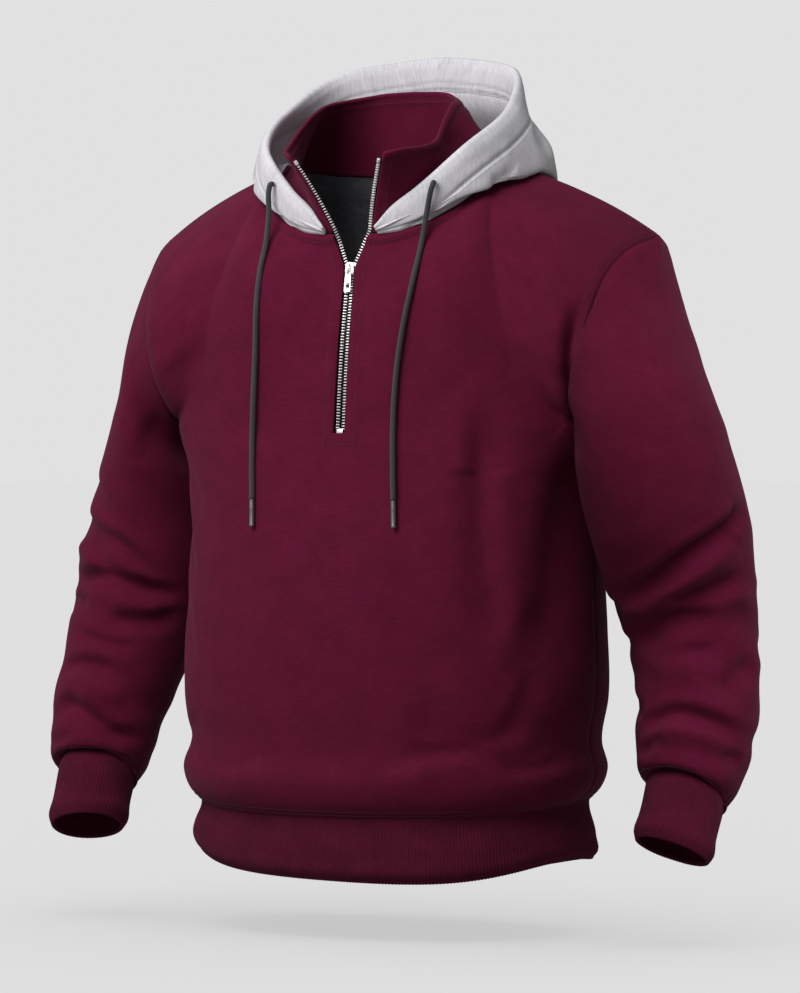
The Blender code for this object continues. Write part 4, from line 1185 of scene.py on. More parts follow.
# %% Build the sleeves
SLEEVE_COLUMNS, SLEEVE_ROWS = 132, 176
SLEEVE_UNEVENNESS = ((0.11, 0.0012), (0.05, 0.0008))
BELOW_ELBOW = ((0.045, 0.0022),)
ARM_SEAM, CUFF_SEAM = (0.0040, 0.0011), (0.0040, 0.0010)
CUFF_PUCKERS = (0.0012, 0.010)


def armhole_loop(turns):
    """The armhole's edge by turn: 180 at the armpit, 0 at the shoulder tip, minus on the back."""
    share = 1 - np.abs(turns) / 180
    stations = np.linspace(0, 1, 61)
    halves = [body_panel(side, [1.0], 1 + stations)[:, 0] for side in (-1, 1)]
    front, back = (through(stations, edge, share) for edge in halves)
    return np.where((turns >= 0)[:, None], front, back)


def sheet_places(grid, turns, shares, places):
    """Points of the sleeve's sheet at (turn, share) places."""
    rows = np.interp([p[1] for p in places], shares[::-1], np.arange(len(shares))[::-1])
    columns = [np.argmin(np.abs((turns - p[0] + 180) % 360 - 180)) for p in places]
    return np.array([grid[int(round(r)), c] for r, c in zip(rows, columns)])


sleeve_turns = np.linspace(180, -180, SLEEVE_COLUMNS, endpoint=False)
sleeve_shares = np.linspace(1, 0, SLEEVE_ROWS)
for side, seed, table in (("left", 2.2, SLEEVE_LEFT), ("right", 5.7, SLEEVE_RIGHT)):
    skin = sleeve_grid(armhole_loop(sleeve_turns), sleeve_turns, sleeve_shares[::-1], table)[::-1]
    normals = cloth_normals(skin, closed=True)
    up, from_top = from_ends(skin)
    lines = [
        (sheet_places(skin, sleeve_turns, sleeve_shares, line), wide, deep)
        for line, wide, deep in SLEEVE_FOLDS[side]
    ]
    height = fold_relief(skin, normals, lines) * smooth_step(up / 0.012)
    lower = smooth_step((sleeve_shares - 0.35) / 0.3)[:, None]
    calm = smooth_step(from_top / 0.03)
    height += unevenness(skin, SLEEVE_UNEVENNESS, seed) * calm
    height += unevenness(skin * (1, 1, 1.7), BELOW_ELBOW, seed + 4) * lower * calm
    height += gathers(around(skin), *CUFF_PUCKERS, seed) * near(up, 0.012)
    height += groove(from_top, *ARM_SEAM) + groove(up, *CUFF_SEAM)
    skin = skin + normals * height[..., None]
    if side == "right":
        skin, normals = mirrored(skin), mirrored(normals)
    sew(
        f"sleeve_{side}", skin, normals, FLEECE, (burgundy_fleece, charcoal_fleece),
        closed=True, bulge=BODY_BULGE,
    )

# %% [markdown]
# ## Geometry Nodes
#
# Ribs, stitches and teeth repeat hundreds of times, so small trees with named
# inputs lay them. A tree ends by making its copies real and giving them their
# material, and running it leaves a plain mesh.

# %% Helpers for Geometry Nodes
def new_tree(name, **sockets):
    """An empty Geometry Nodes tree with the given sockets, and the outputs of its input node."""
    tree = bpy.data.node_groups.new(name, "GeometryNodeTree")
    for label, kind in (("Geometry", "Geometry"), *sockets.items(), ("Material", "Material")):
        tree.interface.new_socket(label, in_out="INPUT", socket_type=f"NodeSocket{kind}")
    tree.interface.new_socket("Geometry", in_out="OUTPUT", socket_type="NodeSocketGeometry")
    return tree, node(tree, "NodeGroupInput").outputs


def finish_tree(tree, given, geometry):
    """Ends a tree: one plain mesh in the given material."""
    solid = result(tree, "GeometryNodeRealizeInstances", {"Geometry": geometry})
    coloured = result(tree, "GeometryNodeSetMaterial", {
        "Geometry": solid, "Material": given["Material"]
    })
    node(tree, "NodeGroupOutput", {"Geometry": coloured})
    return tree


def apply_tree(made, tree, **values):
    """Runs a Geometry Nodes tree on an object and keeps the result as its plain mesh."""
    modifier = made.modifiers.new(tree.name, "NODES")
    modifier.node_group = tree
    for item in tree.interface.items_tree:
        if item.in_out == "INPUT" and item.name in values:
            modifier[item.identifier] = values[item.name]
    bpy.context.view_layer.update()
    graph = bpy.context.evaluated_depsgraph_get()
    plain = bpy.data.meshes.new_from_object(made.evaluated_get(graph), depsgraph=graph)
    made.modifiers.remove(modifier)
    old, made.data = made.data, plain
    name = old.name
    bpy.data.meshes.remove(old)
    made.data.name = name
    made.data.polygons.foreach_set("use_smooth", np.full(len(made.data.polygons), True))
    return made

# %% [markdown]
# ## Rib knit
#
# Cuffs and hem band are knitted in ribs, which is what lets them grip. On the
# real cloth a rib stands about half a millimetre proud and repeats every three
# or four. Geometry Nodes raise them: each point moves out along its own normal
# by a rounded wave of its place around the band, so one tree serves all three.

# %% The rib tree
RIB = 0.0032
RIB_PITCH, RIB_HEIGHT, RIB_FADE = 0.0034, 0.00055, 0.006


def rib_tree():
    """Raises each point along its normal by a rounded wave of its place round a band."""
    tree, given = new_tree("knitted_ribs", Ribs="Float", Height="Float")
    value, fade = (
        result(tree, "GeometryNodeInputNamedAttribute", {"Name": name}, data_type="FLOAT")
        for name in ("around", "rib_fade")
    )
    for operation, other in (
        ("MULTIPLY", given["Ribs"]), ("MULTIPLY", pi), ("SINE", None), ("ABSOLUTE", None),
        ("POWER", 0.7), ("MULTIPLY", given["Height"]), ("MULTIPLY", fade),
    ):
        terms = {0: value} if other is None else {0: value, 1: other}
        value = result(tree, "ShaderNodeMath", terms, operation=operation)
    normal = result(tree, "GeometryNodeInputNormal")
    move = result(tree, "ShaderNodeVectorMath", {0: normal, "Scale": value}, operation="SCALE")
    moved = result(tree, "GeometryNodeSetPosition", {"Geometry": given["Geometry"], "Offset": move})
    return finish_tree(tree, given, moved)


def ribbed_band(name, grid, normals, ribs):
    """A band of rib knit on a sheet that closes round; its last row is the seam."""
    rows, columns = grid.shape[:2]
    piece = cloth(name, grid, normals, RIB, burgundy_rib, burgundy_rib, closed=True)
    mesh = piece.data
    turn = np.tile(np.arange(columns) / columns, rows)
    fade = smooth_step(from_ends(grid)[1] / RIB_FADE).reshape(-1)
    where = np.empty(len(mesh.vertices) * 3)
    mesh.vertices.foreach_get("co", where)
    flat = grid.reshape(-1, 3)
    border = np.concatenate([np.arange(columns), np.arange((rows - 1) * columns, rows * columns)])
    # a point on the rounded border takes its values from the nearest point of the sheet's edge
    nearest = [
        border[np.argmin(((flat[border] - p) ** 2).sum(axis=1))]
        for p in where.reshape(-1, 3)[2 * len(flat):]
    ]
    for key, values in (("around", turn), ("rib_fade", fade)):
        values = np.concatenate([values, values, values[nearest]]).astype(np.float32)
        mesh.attributes.new(key, "FLOAT", "POINT").data.foreach_set("value", values)
    return apply_tree(
        piece, ribs_of_knit, Ribs=float(ribs), Height=RIB_HEIGHT, Material=burgundy_rib
    )


ribs_of_knit = rib_tree()

# %% [markdown]
# ## Cuffs and hem band
#
# Both are a doubled band, folded at its lower edge, and narrower than the cloth
# that is sewn to it, so the sleeve and the body roll over them. The fold is
# round and the seam is pulled in.

# %% Build the cuffs and the hem band
CUFF_GIRTH = 0.262
CUFF_UNEVENNESS, BAND_UNEVENNESS = ((0.035, 0.0016),), ((0.12, 0.0022), (0.05, 0.0008))
BAND_SEAM = (0.004, 0.0008)


def band_relief(skin, normals, bumps, seed, roll):
    """The band's unevenness, its groove at the seam, and its flare and turn-in at the fold."""
    up, from_top = from_ends(skin)
    wave = unevenness(skin, bumps, seed) * smooth_step(from_top / 0.02)
    rolled = 0.0014 * near(up - 0.010, 0.008) - 0.0022 * near(up, 0.0035)
    return skin + normals * (wave + groove(from_top, *BAND_SEAM) + roll * rolled)[..., None]


rows = np.concatenate([[0, 0.025, 0.055], np.linspace(0.09, 1, 17)])
for side in ("left", "right"):
    ribs = round(CUFF_GIRTH / RIB_PITCH)
    turns = np.linspace(180, -180, ribs * 6, endpoint=False)
    skin = through((0, 0.5, 1), sleeve_rings(CUFF, turns), rows)[::-1]
    skin[-1] = sleeve_rings(SLEEVE_LEFT, turns)[-1]
    normals = cloth_normals(skin, closed=True)
    skin = band_relief(skin, normals, CUFF_UNEVENNESS, 3 if side == "left" else 9, 1)
    if side == "right":
        skin, normals = mirrored(skin), mirrored(normals)
    piece = ribbed_band(f"cloth_cuff_{side}", skin, normals, ribs)
    sheet_of(piece, f"cuff_{side}")

edge = np.concatenate([front_skin(front_s, [0])[0], body_panel(1, back_s, [0])[0, ::-1][1:-1]])
loop = np.concatenate([edge, edge[:1]])
girth = travelled(loop)[-1]
ribs = round(girth / RIB_PITCH)
loop = along(loop, np.linspace(0, 1, ribs * 5, endpoint=False))
rows = []
for share in np.concatenate([[1, 0.975, 0.945], np.linspace(0.90, 0, 14)]):
    height = HEM_TOP + (HEM_BOTTOM - HEM_TOP) * share
    size, top = read_table(TORSO, [height, HEM_TOP])
    step = np.zeros_like(loop)
    step[:, 0] = loop[:, 0] * (size[0] / top[0] - 1)
    step[:, 1] = loop[:, 1] * (np.where(loop[:, 1] < 0, size[1] / top[1], size[2] / top[2]) - 1)
    front = smooth_step((-loop[:, 1] - 0.05) / 0.10)
    back = smooth_step((loop[:, 1] + 0.06) / 0.14)
    droop = BAND_DROOP * front + BACK_DROOP * back + BAND_LEAN * loop[:, 0] / loop[:, 0].max()
    step[:, 2] = height - HEM_TOP - droop * share
    rows.append(loop + step)
skin = np.array(rows)
normals = cloth_normals(skin, closed=True)
skin = band_relief(skin, normals, BAND_UNEVENNESS, 6.6, 1.6)
piece = ribbed_band("cloth_hem_band", skin, normals, ribs)
sheet_of(piece, "hem_band")
print(f"hem band {girth * 1000:.0f} mm round, {ribs} ribs")

# %% [markdown]
# ## The stand collar
#
# Inside the hood stands a collar of the same fleece, doubled, so burgundy shows
# on both sides. Its rolled top edge is thicker than its middle. Unzipped, its two
# front ends lean outwards and the back slumps a little.

# %% Build the stand collar
# folds of the collar and hood: (share, row) points on a left half, half width, depth
COLLAR_FOLDS = (
    (((0.10, 0.25), (0.22, 0.42), (0.36, 0.40)), 0.014, 0.0022),
    (((0.30, 0.85), (0.40, 0.55), (0.46, 0.20)), 0.016, 0.0026),
    (((0.60, 0.80), (0.64, 0.50), (0.66, 0.20)), 0.018, 0.0022),
)


COLLAR_UNEVENNESS = ((0.07, 0.0022), (0.03, 0.0007))


def grid_folds(grid, shares, folds):
    """Folds with their lines as points of a grid; shares is how many columns span 0 to 1."""
    last_row, last_column = len(grid) - 1, shares - 1
    return [
        (np.array([grid[int(r * last_row), int(s * last_column)] for s, r in line]), wide, deep)
        for line, wide, deep in folds
    ]


collar_shares = np.concatenate([[0, 0.012, 0.024], np.linspace(0.036, 1, 96)])
collar_rows = np.linspace(0, 1, 34)
left, right = (
    collar_grid(collar_shares, collar_rows, table) for table in (COLLAR_LEFT, COLLAR_RIGHT)
)
both = np.concatenate([left, mirrored(right)[:, 1:]], axis=1)
normals = cloth_normals(both)
skin = both - COLLAR_SHIFT * normals + (0, 0, COLLAR_SHIFT)
up, from_top = from_ends(skin)
free = smooth_step(np.minimum(up, around(skin)) / 0.02)
height = fold_relief(skin, normals, grid_folds(skin, len(collar_shares), COLLAR_FOLDS)) * free
height += unevenness(skin, COLLAR_UNEVENNESS, 12.5) * free
height += 0.0008 * near(from_top - 0.0035, 0.0030) + groove(from_top - 0.0085, 0.0018, 0.0005)
skin = skin + normals * height[..., None]
wall = FLEECE + 0.0014 * near(from_top, 0.007)
sew("stand_collar", skin, normals, wall, (burgundy_fleece,) * 2)

# %% [markdown]
# ## The hood
#
# Two mirrored halves of light grey jersey, sewn down the middle of the back. The
# rim is turned in by 27 mm and stitched twice to make the drawcord's channel, so
# it is fuller than the rest. Lowered, the hood folds under itself behind the neck.

# %% Build the hood
HOOD_CLOTH = 0.0030
CHANNEL = 0.027
TWIN_NEEDLES = 0.0024
HOOD_SHARES, HOOD_ROWS = 120, 96
HOOD_UNEVENNESS = ((0.09, 0.0026), (0.04, 0.0012))
CENTRE_SEAM, CHANNEL_SEAM, NEEDLE = (0.0030, 0.0009), (0.0026, 0.0014), (0.0015, 0.0020)
RIM_PUCKERS = (0.0007, 0.013)
HOOD_FOLDS = {
    "left": (
        (((0.10, 0.16), (0.17, 0.22), (0.26, 0.24), (0.38, 0.16)), 0.0085, 0.0066),
        (((0.44, 0.12), (0.40, 0.30), (0.34, 0.48)), 0.0120, 0.0040),
        (((0.70, 0.86), (0.62, 0.72), (0.56, 0.52)), 0.0130, 0.0100),
        (((0.76, 0.25), (0.72, 0.45), (0.70, 0.72)), 0.0160, 0.0036),
        (((0.96, 0.42), (0.86, 0.40), (0.74, 0.36), (0.62, 0.28)), 0.0160, 0.0040),
    ),
    "right": (
        (((0.10, 0.22), (0.17, 0.28), (0.25, 0.32)), 0.0100, 0.0030),
        (((0.48, 0.14), (0.42, 0.38), (0.38, 0.66)), 0.0120, 0.0040),
        (((0.66, 0.18), (0.60, 0.42), (0.58, 0.72)), 0.0150, 0.0042),
        (((0.84, 0.25), (0.80, 0.46), (0.80, 0.72)), 0.0160, 0.0036),
        (((0.98, 0.40), (0.88, 0.42), (0.76, 0.38), (0.64, 0.30)), 0.0160, 0.0044),
    ),
}

plain_hood = hood_grid(np.linspace(0, 1, HOOD_SHARES), np.linspace(0, 1, HOOD_ROWS))
for side, seed in (("left", 1.9), ("right", 6.3)):
    skin = plain_hood.copy()
    skin[:, -1] += (0.00015, 0, 0)
    normals = cloth_normals(skin)
    up, from_rim = from_ends(skin)
    at_centre = around(skin)
    past_channel = from_rim - CHANNEL
    from_centre = at_centre[:, -1:] - at_centre
    at_corner = smooth_step(at_centre / 0.035)
    height = fold_relief(skin, normals, grid_folds(skin, HOOD_SHARES, HOOD_FOLDS[side]))
    height *= smooth_step(past_channel / 0.02)
    calm = smooth_step(up / 0.03) * smooth_step(from_centre / 0.02)
    height += unevenness(skin, HOOD_UNEVENNESS, seed) * calm
    fuller = 0.0046 * near(from_rim - 0.005, 0.012)
    fuller += 0.0018 * near(from_rim / CHANNEL - 0.5, 0.40, 4)
    fuller *= 0.25 + 0.75 * at_corner
    height += 0.45 * fuller + groove(past_channel, *CHANNEL_SEAM)
    doubled = 0.0016 * smooth_step((0.002 - past_channel) / 0.003)
    doubled += groove(past_channel + TWIN_NEEDLES, *NEEDLE)
    doubled += groove(past_channel - TWIN_NEEDLES, *NEEDLE)
    rim_metres = np.broadcast_to(at_centre[-1:], up.shape)
    height += gathers(rim_metres, *RIM_PUCKERS, seed) * near(past_channel, 0.008)
    height += groove(from_centre, *CENTRE_SEAM)
    skin = skin + normals * height[..., None]
    wall = HOOD_CLOTH + fuller + doubled * at_corner
    if side == "right":
        skin, normals, wall = mirrored(skin), mirrored(normals), wall[:, ::-1]
    sew(f"hood_{side}", skin, normals, wall, (heather_jersey,) * 2)

# %% [markdown]
# ## Stitches
#
# A line of topstitching is a row of short threads, each sunk a little at both
# ends. Geometry Nodes lay them: a line of points on the cloth is cut into steps
# of one stitch, a small capsule is set on each step, turned along the line and
# laid flat on the cloth, and all of them become one mesh in the thread's colour.

# %% The stitch tree
STITCH_LENGTH, STITCH_GAP, THREAD = 0.0024, 0.0006, 0.00062


def set_along(tree, given, copied):
    """Sets copies along a line, a step apart: X along the line and Z along the value "facing"."""
    line = result(tree, "GeometryNodeMeshToCurve", {"Mesh": given["Geometry"]})
    steps = result(
        tree, "GeometryNodeResampleCurve", {"Curve": line, "Length": given["Step"]}, mode="LENGTH"
    )
    course = result(tree, "GeometryNodeInputTangent")
    facing = result(
        tree, "GeometryNodeInputNamedAttribute", {"Name": "facing"}, data_type="FLOAT_VECTOR"
    )
    align = "FunctionNodeAlignRotationToVector"
    turned = result(tree, align, {"Vector": course}, axis="X")
    laid = result(tree, align, {"Rotation": turned, "Vector": facing}, axis="Z", pivot_axis="X")
    copies = result(tree, "GeometryNodeInstanceOnPoints", {
        "Points": steps, "Instance": copied, "Rotation": laid
    })
    return finish_tree(tree, given, copies)


def stitch_tree():
    """Lays small capsules of thread end to end along a line."""
    tree, given = new_tree("topstitching", Step="Float", Length="Float", Thickness="Float")
    capsule = result(tree, "GeometryNodeMeshUVSphere", {"Segments": 6, "Rings": 4, "Radius": 0.5})
    size = result(tree, "ShaderNodeCombineXYZ", {
        "X": given["Thickness"], "Y": given["Thickness"], "Z": given["Length"]
    })
    upright = result(tree, "GeometryNodeTransform", {"Geometry": capsule, "Scale": size})
    lying = result(tree, "GeometryNodeTransform", {"Geometry": upright, "Rotation": (0, pi / 2, 0)})
    return set_along(tree, given, lying)


topstitching = stitch_tree()


def line_object(name, lines):
    """A mesh of open lines; each is (points, normals), and the normals are kept as "facing"."""
    points, edges = [], []
    for line, _ in lines:
        start = len(points)
        points += [tuple(p) for p in line]
        edges += [(start + k, start + k + 1) for k in range(len(line) - 1)]
    mesh = bpy.data.meshes.new(name)
    mesh.from_pydata(points, edges, [])
    facing = np.concatenate([facing for _, facing in lines]).astype(np.float32)
    carried = mesh.attributes.new("facing", "FLOAT_VECTOR", "POINT")
    carried.data.foreach_set("vector", facing.reshape(-1))
    return add_object(name, mesh)


def stitches(name, lines, material):
    """Topstitching along (points, normals) lines, as one piece of thread."""
    made = apply_tree(
        line_object(name, lines), topstitching,
        Step=STITCH_LENGTH + STITCH_GAP, Length=STITCH_LENGTH, Thickness=THREAD, Material=material,
    )
    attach(made, "garment")
    print(f"{name}: {sum(travelled(points)[-1] for points, _ in lines):.2f} m of stitching")

# %% [markdown]
# ## Lines on the cloth
#
# Stitches follow a seam at a set distance. These helpers find the row or column
# numbers at that distance and read points and normals between the sheet's own.

# %% Read lines on the cloth
def on_panel(name, rows, columns, inside=None, lift=0.00010):
    """A line over a panel by fractional row and column numbers, with its normals."""
    grid, normals = panels[name]
    rows, columns = np.broadcast_arrays(np.asarray(rows, float), np.asarray(columns, float))
    r = np.clip(rows.astype(int), 0, grid.shape[0] - 2)
    c = np.clip(columns.astype(int), 0, grid.shape[1] - 2)
    fr, fc = (rows - r)[:, None], (columns - c)[:, None]
    points, facing = (
        field[r, c] * (1 - fr) * (1 - fc) + field[r + 1, c] * fr * (1 - fc)
        + field[r, c + 1] * (1 - fr) * fc + field[r + 1, c + 1] * fr * fc
        for field in (grid, normals)
    )
    facing = unit(facing)
    if inside is not None:
        return points - facing * (inside + lift), -facing
    return points + facing * lift, facing


def numbers_at(grid, distance, lines, from_end):
    """The row numbers at this distance from a grid's first or last row, along the given columns."""
    done, numbers = travelled(grid), np.arange(len(grid))
    if from_end:
        done, numbers = (done[-1:] - done)[::-1], numbers[::-1]
    return np.array([np.interp(distance, done[:, k], numbers) for k in lines])


def level(name, distance, columns, from_top=True, **how):
    """A line over a panel at this distance from its top or bottom edge."""
    return on_panel(name, numbers_at(panels[name][0], distance, columns, from_top), columns, **how)


def upright(name, distance, rows, from_end, **how):
    """A line over a panel at this distance from its first or last column."""
    sideways = panels[name][0].transpose(1, 0, 2)
    return on_panel(name, rows, numbers_at(sideways, distance, rows, from_end), **how)


# %% [markdown]
# ## Where the seams are topstitched
#
# Twin needles run beside the armholes, the hem seam and the cuffs, and twice
# round the hood's channel. Single lines hold the collar's top edge, the facing
# beside the zip and the box that closes it below.

# %% Lay the topstitching
ARMHOLE_GAPS, BODY_HEM_GAPS, SLEEVE_GAPS = (0.0030, 0.0092), (0.0040, 0.0095), (0.0035, 0.0090)
SHOULDER_GAP = SEAM_GAP = 0.0035
COLLAR_TOP_GAP, COLLAR_END_GAP = 0.0085, 0.0090
FOOT_ROWS, FOOT_HALF_WIDTH, FOOT_POINTS = 3, 0.0157, 14
body_lines, hood_lines = [], []

arm_rows = np.arange(LOW_ROWS + 4, len(body_rows) - 1)
for name, s in (("front_body", front_s), ("back_body", back_s[::-1])):
    columns = np.arange(len(s))
    body_lines += [
        upright(name, gap, arm_rows, from_end) for gap in ARMHOLE_GAPS for from_end in (False, True)
    ]
    for sign in (-1, 1):
        body_lines.append(level(name, SHOULDER_GAP, columns[s * sign > NECK_SHARE + 0.03]))
        if name == "front_body":
            neck = columns[(s * sign > SLIT) & (s * sign < NECK_SHARE)]
            body_lines.append(level(name, NECK_STITCH, neck))
    if name == "back_body":
        body_lines.append(level(name, NECK_STITCH, columns[np.abs(s) < NECK_SHARE]))
    body_lines += [level(name, gap, columns, False) for gap in BODY_HEM_GAPS]

for side in ("left", "right"):
    for gap in SLEEVE_GAPS:
        body_lines.append(level(f"sleeve_{side}", gap, np.arange(SLEEVE_COLUMNS), False))

# the facing beside the zip is stitched down on both sides and across its foot
grid = panels["front_body"][0].transpose(1, 0, 2)
foot_row = slit_row - FOOT_ROWS
zip_rows = np.arange(foot_row, len(body_rows) - 1)
for half, first, step in ((grid[centre::-1], centre, -1), (grid[centre + 1 :], centre + 1, 1)):
    columns = first + step * numbers_at(half, ZIP_STITCH, zip_rows, False)
    body_lines.append(on_panel("front_body", zip_rows, columns))
ends = np.interp((-FOOT_HALF_WIDTH, FOOT_HALF_WIDTH), grid[:, foot_row, 0], np.arange(len(grid)))
foot_columns = np.linspace(*ends, FOOT_POINTS)
body_lines.append(on_panel("front_body", np.full(FOOT_POINTS, foot_row), foot_columns))

collar_columns = np.arange(3, panels["stand_collar"][0].shape[1] - 3)
collar_lines = np.arange(1, len(collar_rows) - 4)
for inside in (None, FLEECE + 0.0002):
    body_lines.append(level("stand_collar", COLLAR_TOP_GAP, collar_columns, inside=inside))
    body_lines += [
        upright("stand_collar", COLLAR_END_GAP, collar_lines, from_end, inside=inside)
        for from_end in (False, True)
    ]

for side in ("left", "right"):
    name = f"hood_{side}"
    for gap in (CHANNEL - 0.0008, CHANNEL + 0.0046):
        for inside in (None, HOOD_CLOTH):
            hood_lines.append(level(name, gap, np.arange(2, HOOD_SHARES - 2), inside=inside))
    seam_rows = np.arange(2, HOOD_ROWS - 4)
    for inside in (None, HOOD_CLOTH):
        hood_lines.append(upright(name, SEAM_GAP, seam_rows, side == "left", inside=inside))

stitches("topstitching_body", body_lines, burgundy_thread)
stitches("topstitching_hood", hood_lines, grey_thread)

# %% [markdown]
# ## The zip's tape
#
# Two woven tapes carry the teeth. Each is sewn under the cloth's edge, and a
# narrow strip of it shows between that edge and the teeth, with the thicker woven
# bead that the teeth grip. Below the slider the two meet; above it they part.

# %% Follow the zip's edge and build the tapes
SLIDER_HEIGHT = -0.1125
ZIP_POINTS = 150


def read_along(at, done, values):
    """Values at these distances, read between those known at the distances done."""
    return np.column_stack([np.interp(at, done, column) for column in values.T])


def zip_path(count):
    """The left cloth edge beside the zip, from its bottom up, and the ways to the gap and out."""
    rows = 1 + np.linspace(0, 1, 41)[:-1]
    below = ARMPIT + np.linspace(ZIP_BOTTOM + 0.001 - ARMPIT, -0.002, 2)
    rows = np.concatenate([(below - HEM_TOP) / (ARMPIT - HEM_TOP), rows])
    s = np.array([-0.12, -SLIT, SLIT, 0.12])
    body = front_skin(s, rows)
    body_normals = cloth_normals(body)
    collar = collar_grid([0, 0.035, 0.07], np.linspace(0, 1, 13), COLLAR_LEFT)
    collar_normals = cloth_normals(collar)
    collar = collar - COLLAR_SHIFT * collar_normals + (0, 0, COLLAR_SHIFT)
    edge = np.concatenate([body[:, 2], collar[:-1, 0]])
    inwards = np.concatenate([body[:, 3] - body[:, 2], collar[:-1, 1] - collar[:-1, 0]])
    facing = np.concatenate([body_normals[:, 2], collar_normals[:-1, 0]])
    closed = edge[:, 2] < SLIDER_HEIGHT - 0.001
    inwards[closed] = (1, 0, 0)
    facing[:, 0] *= np.where(closed, 0, 1)
    done = travelled(edge) / travelled(edge)[-1]
    shares = np.linspace(0, 1, count)
    edge, inwards, facing = (read_along(shares, done, values) for values in (edge, inwards, facing))
    return edge, -unit(inwards), unit(facing)


def soften(path, times=3):
    """Evens out the steps of a path without moving its ends."""
    path = path.copy()
    for _ in range(times):
        path[1:-1] = (path[:-2] + 2 * path[1:-1] + path[2:]) / 4
    return path


spot, gap_way, out_way = zip_path(ZIP_POINTS)
spot, gap_way, out_way = soften(spot), unit(soften(gap_way, 6)), unit(soften(out_way, 6))
print(f"zip {travelled(spot)[-1] * 1000:.0f} mm from its bottom to the collar's top")


def outward_faces(made):
    """Turns a closed mesh's faces outwards."""
    shape = bmesh.new()
    shape.from_mesh(made.data)
    bmesh.ops.recalc_face_normals(shape, faces=shape.faces)
    shape.to_mesh(made.data)
    shape.free()


# the tape's section with its bead: metres towards the gap and outwards, from the cloth's edge
TAPE_SECTION = [
    (-0.0040, -0.0044), (-0.0040, -0.0038), (0.0012, -0.0038), (0.0024, -0.0034), (0.0032, -0.0031),
    (0.0037, -0.0034), (0.0037, -0.0042), (0.0032, -0.0046), (0.0020, -0.0045),
]
for side in ("left", "right"):
    rings = np.array([spot + a * gap_way + b * out_way for a, b in TAPE_SECTION]).transpose(1, 0, 2)
    if side == "right":
        rings = mirrored(rings)
    girth = travelled(np.array(TAPE_SECTION + TAPE_SECTION[:1]))
    tape = ringed(f"woven_tape_{side}", rings, girth, travelled(spot), zip_tape_weave)
    outward_faces(tape)
    part_of(tape, "tape", f"zip_tape_{side}")

# %% [markdown]
# ## The teeth
#
# Metal zip teeth are little clamps, 2.9 mm apart, pressed over the tape's bead;
# the two rows stand half a step apart so that they mesh. One tooth is modelled
# from a few faces: a block that grips the bead and a narrower head that reaches
# over the middle. Geometry Nodes set it along both edges.

# %% Model one tooth and set the rows
TOOTH_STEP = 0.0029
TEETH_START, TEETH_END = 0.004, 0.007
ROW_POINTS = 260
BEAD_CENTRE = (0.0029, -0.0028)


def block(shape, low, high, bevel, segments=2, profile=0.6):
    """Adds a box between two corners to a bmesh, its edges bevelled."""
    corners = bmesh.ops.create_cube(shape, size=1.0)["verts"]
    low, high = np.array(low), np.array(high)
    for v in corners:
        v.co = Vector((low + high) / 2 + np.array(v.co) * (high - low))
    edges = {edge for v in corners for edge in v.link_edges}
    bmesh.ops.bevel(
        shape, geom=list(edges), offset=bevel, segments=segments, affect="EDGES", profile=profile
    )


def one_tooth():
    """A tooth at the origin: X along the zip, Y towards the gap, Z out of the cloth."""
    shape = bmesh.new()
    block(shape, (-0.00062, -0.0006, -0.0013), (0.00062, 0.0017, 0.0013), 0.00026, 1, 0.5)
    block(shape, (-0.00050, 0.0015, -0.0009), (0.00050, 0.0030, 0.0009), 0.00022, 1, 0.5)
    mesh = bpy.data.meshes.new("zip_tooth")
    shape.to_mesh(mesh)
    shape.free()
    return add_object("zip_tooth", mesh)


def teeth_tree():
    """Sets a tooth at each step of a line."""
    tree, given = new_tree("zip_teeth", Step="Float", Tooth="Object")
    tooth = node(tree, "GeometryNodeObjectInfo", {"Object": given["Tooth"]}).outputs["Geometry"]
    return set_along(tree, given, tooth)


zip_teeth = teeth_tree()
tooth = one_tooth()
length = travelled(spot)
for side in ("left", "right"):
    # the left row runs up the zip and the right one down, so that Y points into the gap on both
    start = TEETH_START + (0 if side == "left" else TOOTH_STEP / 2)
    at = np.linspace(start, length[-1] - TEETH_END, ROW_POINTS)
    edge, gap, facing = (read_along(at, length, values) for values in (spot, gap_way, out_way))
    line = edge + BEAD_CENTRE[0] * gap + BEAD_CENTRE[1] * facing
    if side == "right":
        line, facing = line[::-1] * (-1, 1, 1), facing[::-1] * (-1, 1, 1)
    row = line_object(f"teeth_{side}", [(line, facing)])
    apply_tree(row, zip_teeth, Step=TOOTH_STEP, Tooth=tooth, Material=nickel)
    row.data.polygons.foreach_set("use_smooth", np.zeros(len(row.data.polygons), bool))
    part_of(row, "nickel", f"zip_chain_{side}")
    print(f"teeth {side}: {len(row.data.polygons)} faces")
bpy.data.objects.remove(tooth)

# %% [markdown]
# ## Small metal pieces
#
# Slider, tab and stops are cast or stamped, and tumbling rounds their edges. Each
# is drawn at the origin, X across the zip, Y up it and Z out of the cloth, and a
# matrix sets it down on the zip.

# %% Helpers for metal pieces
ROUND_EDGE = {"affect": "EDGES", "segments": 2, "profile": 0.6}


def placing(origin, across, up, out):
    """The matrix that sets a piece down with its X, Y and Z along these three directions."""
    return Matrix.Translation(origin) @ Matrix((across, up, out)).transposed().to_4x4()


def plate(shape, outline, low, high, bevel):
    """Adds a flat plate to a bmesh, from an outline and two heights, its rims bevelled."""
    bottom, top = ([shape.verts.new((x, y, height)) for x, y in outline] for height in (low, high))
    shape.faces.new(bottom[::-1])
    shape.faces.new(top)
    for k in range(len(outline)):
        n = (k + 1) % len(outline)
        shape.faces.new((bottom[k], bottom[n], top[n], top[k]))
    edges = {e for v in bottom + top for e in v.link_edges}
    rims = [e for e in edges if abs(e.verts[0].co.z - e.verts[1].co.z) < 1e-9]
    bmesh.ops.bevel(shape, geom=rims, offset=bevel, **ROUND_EDGE)


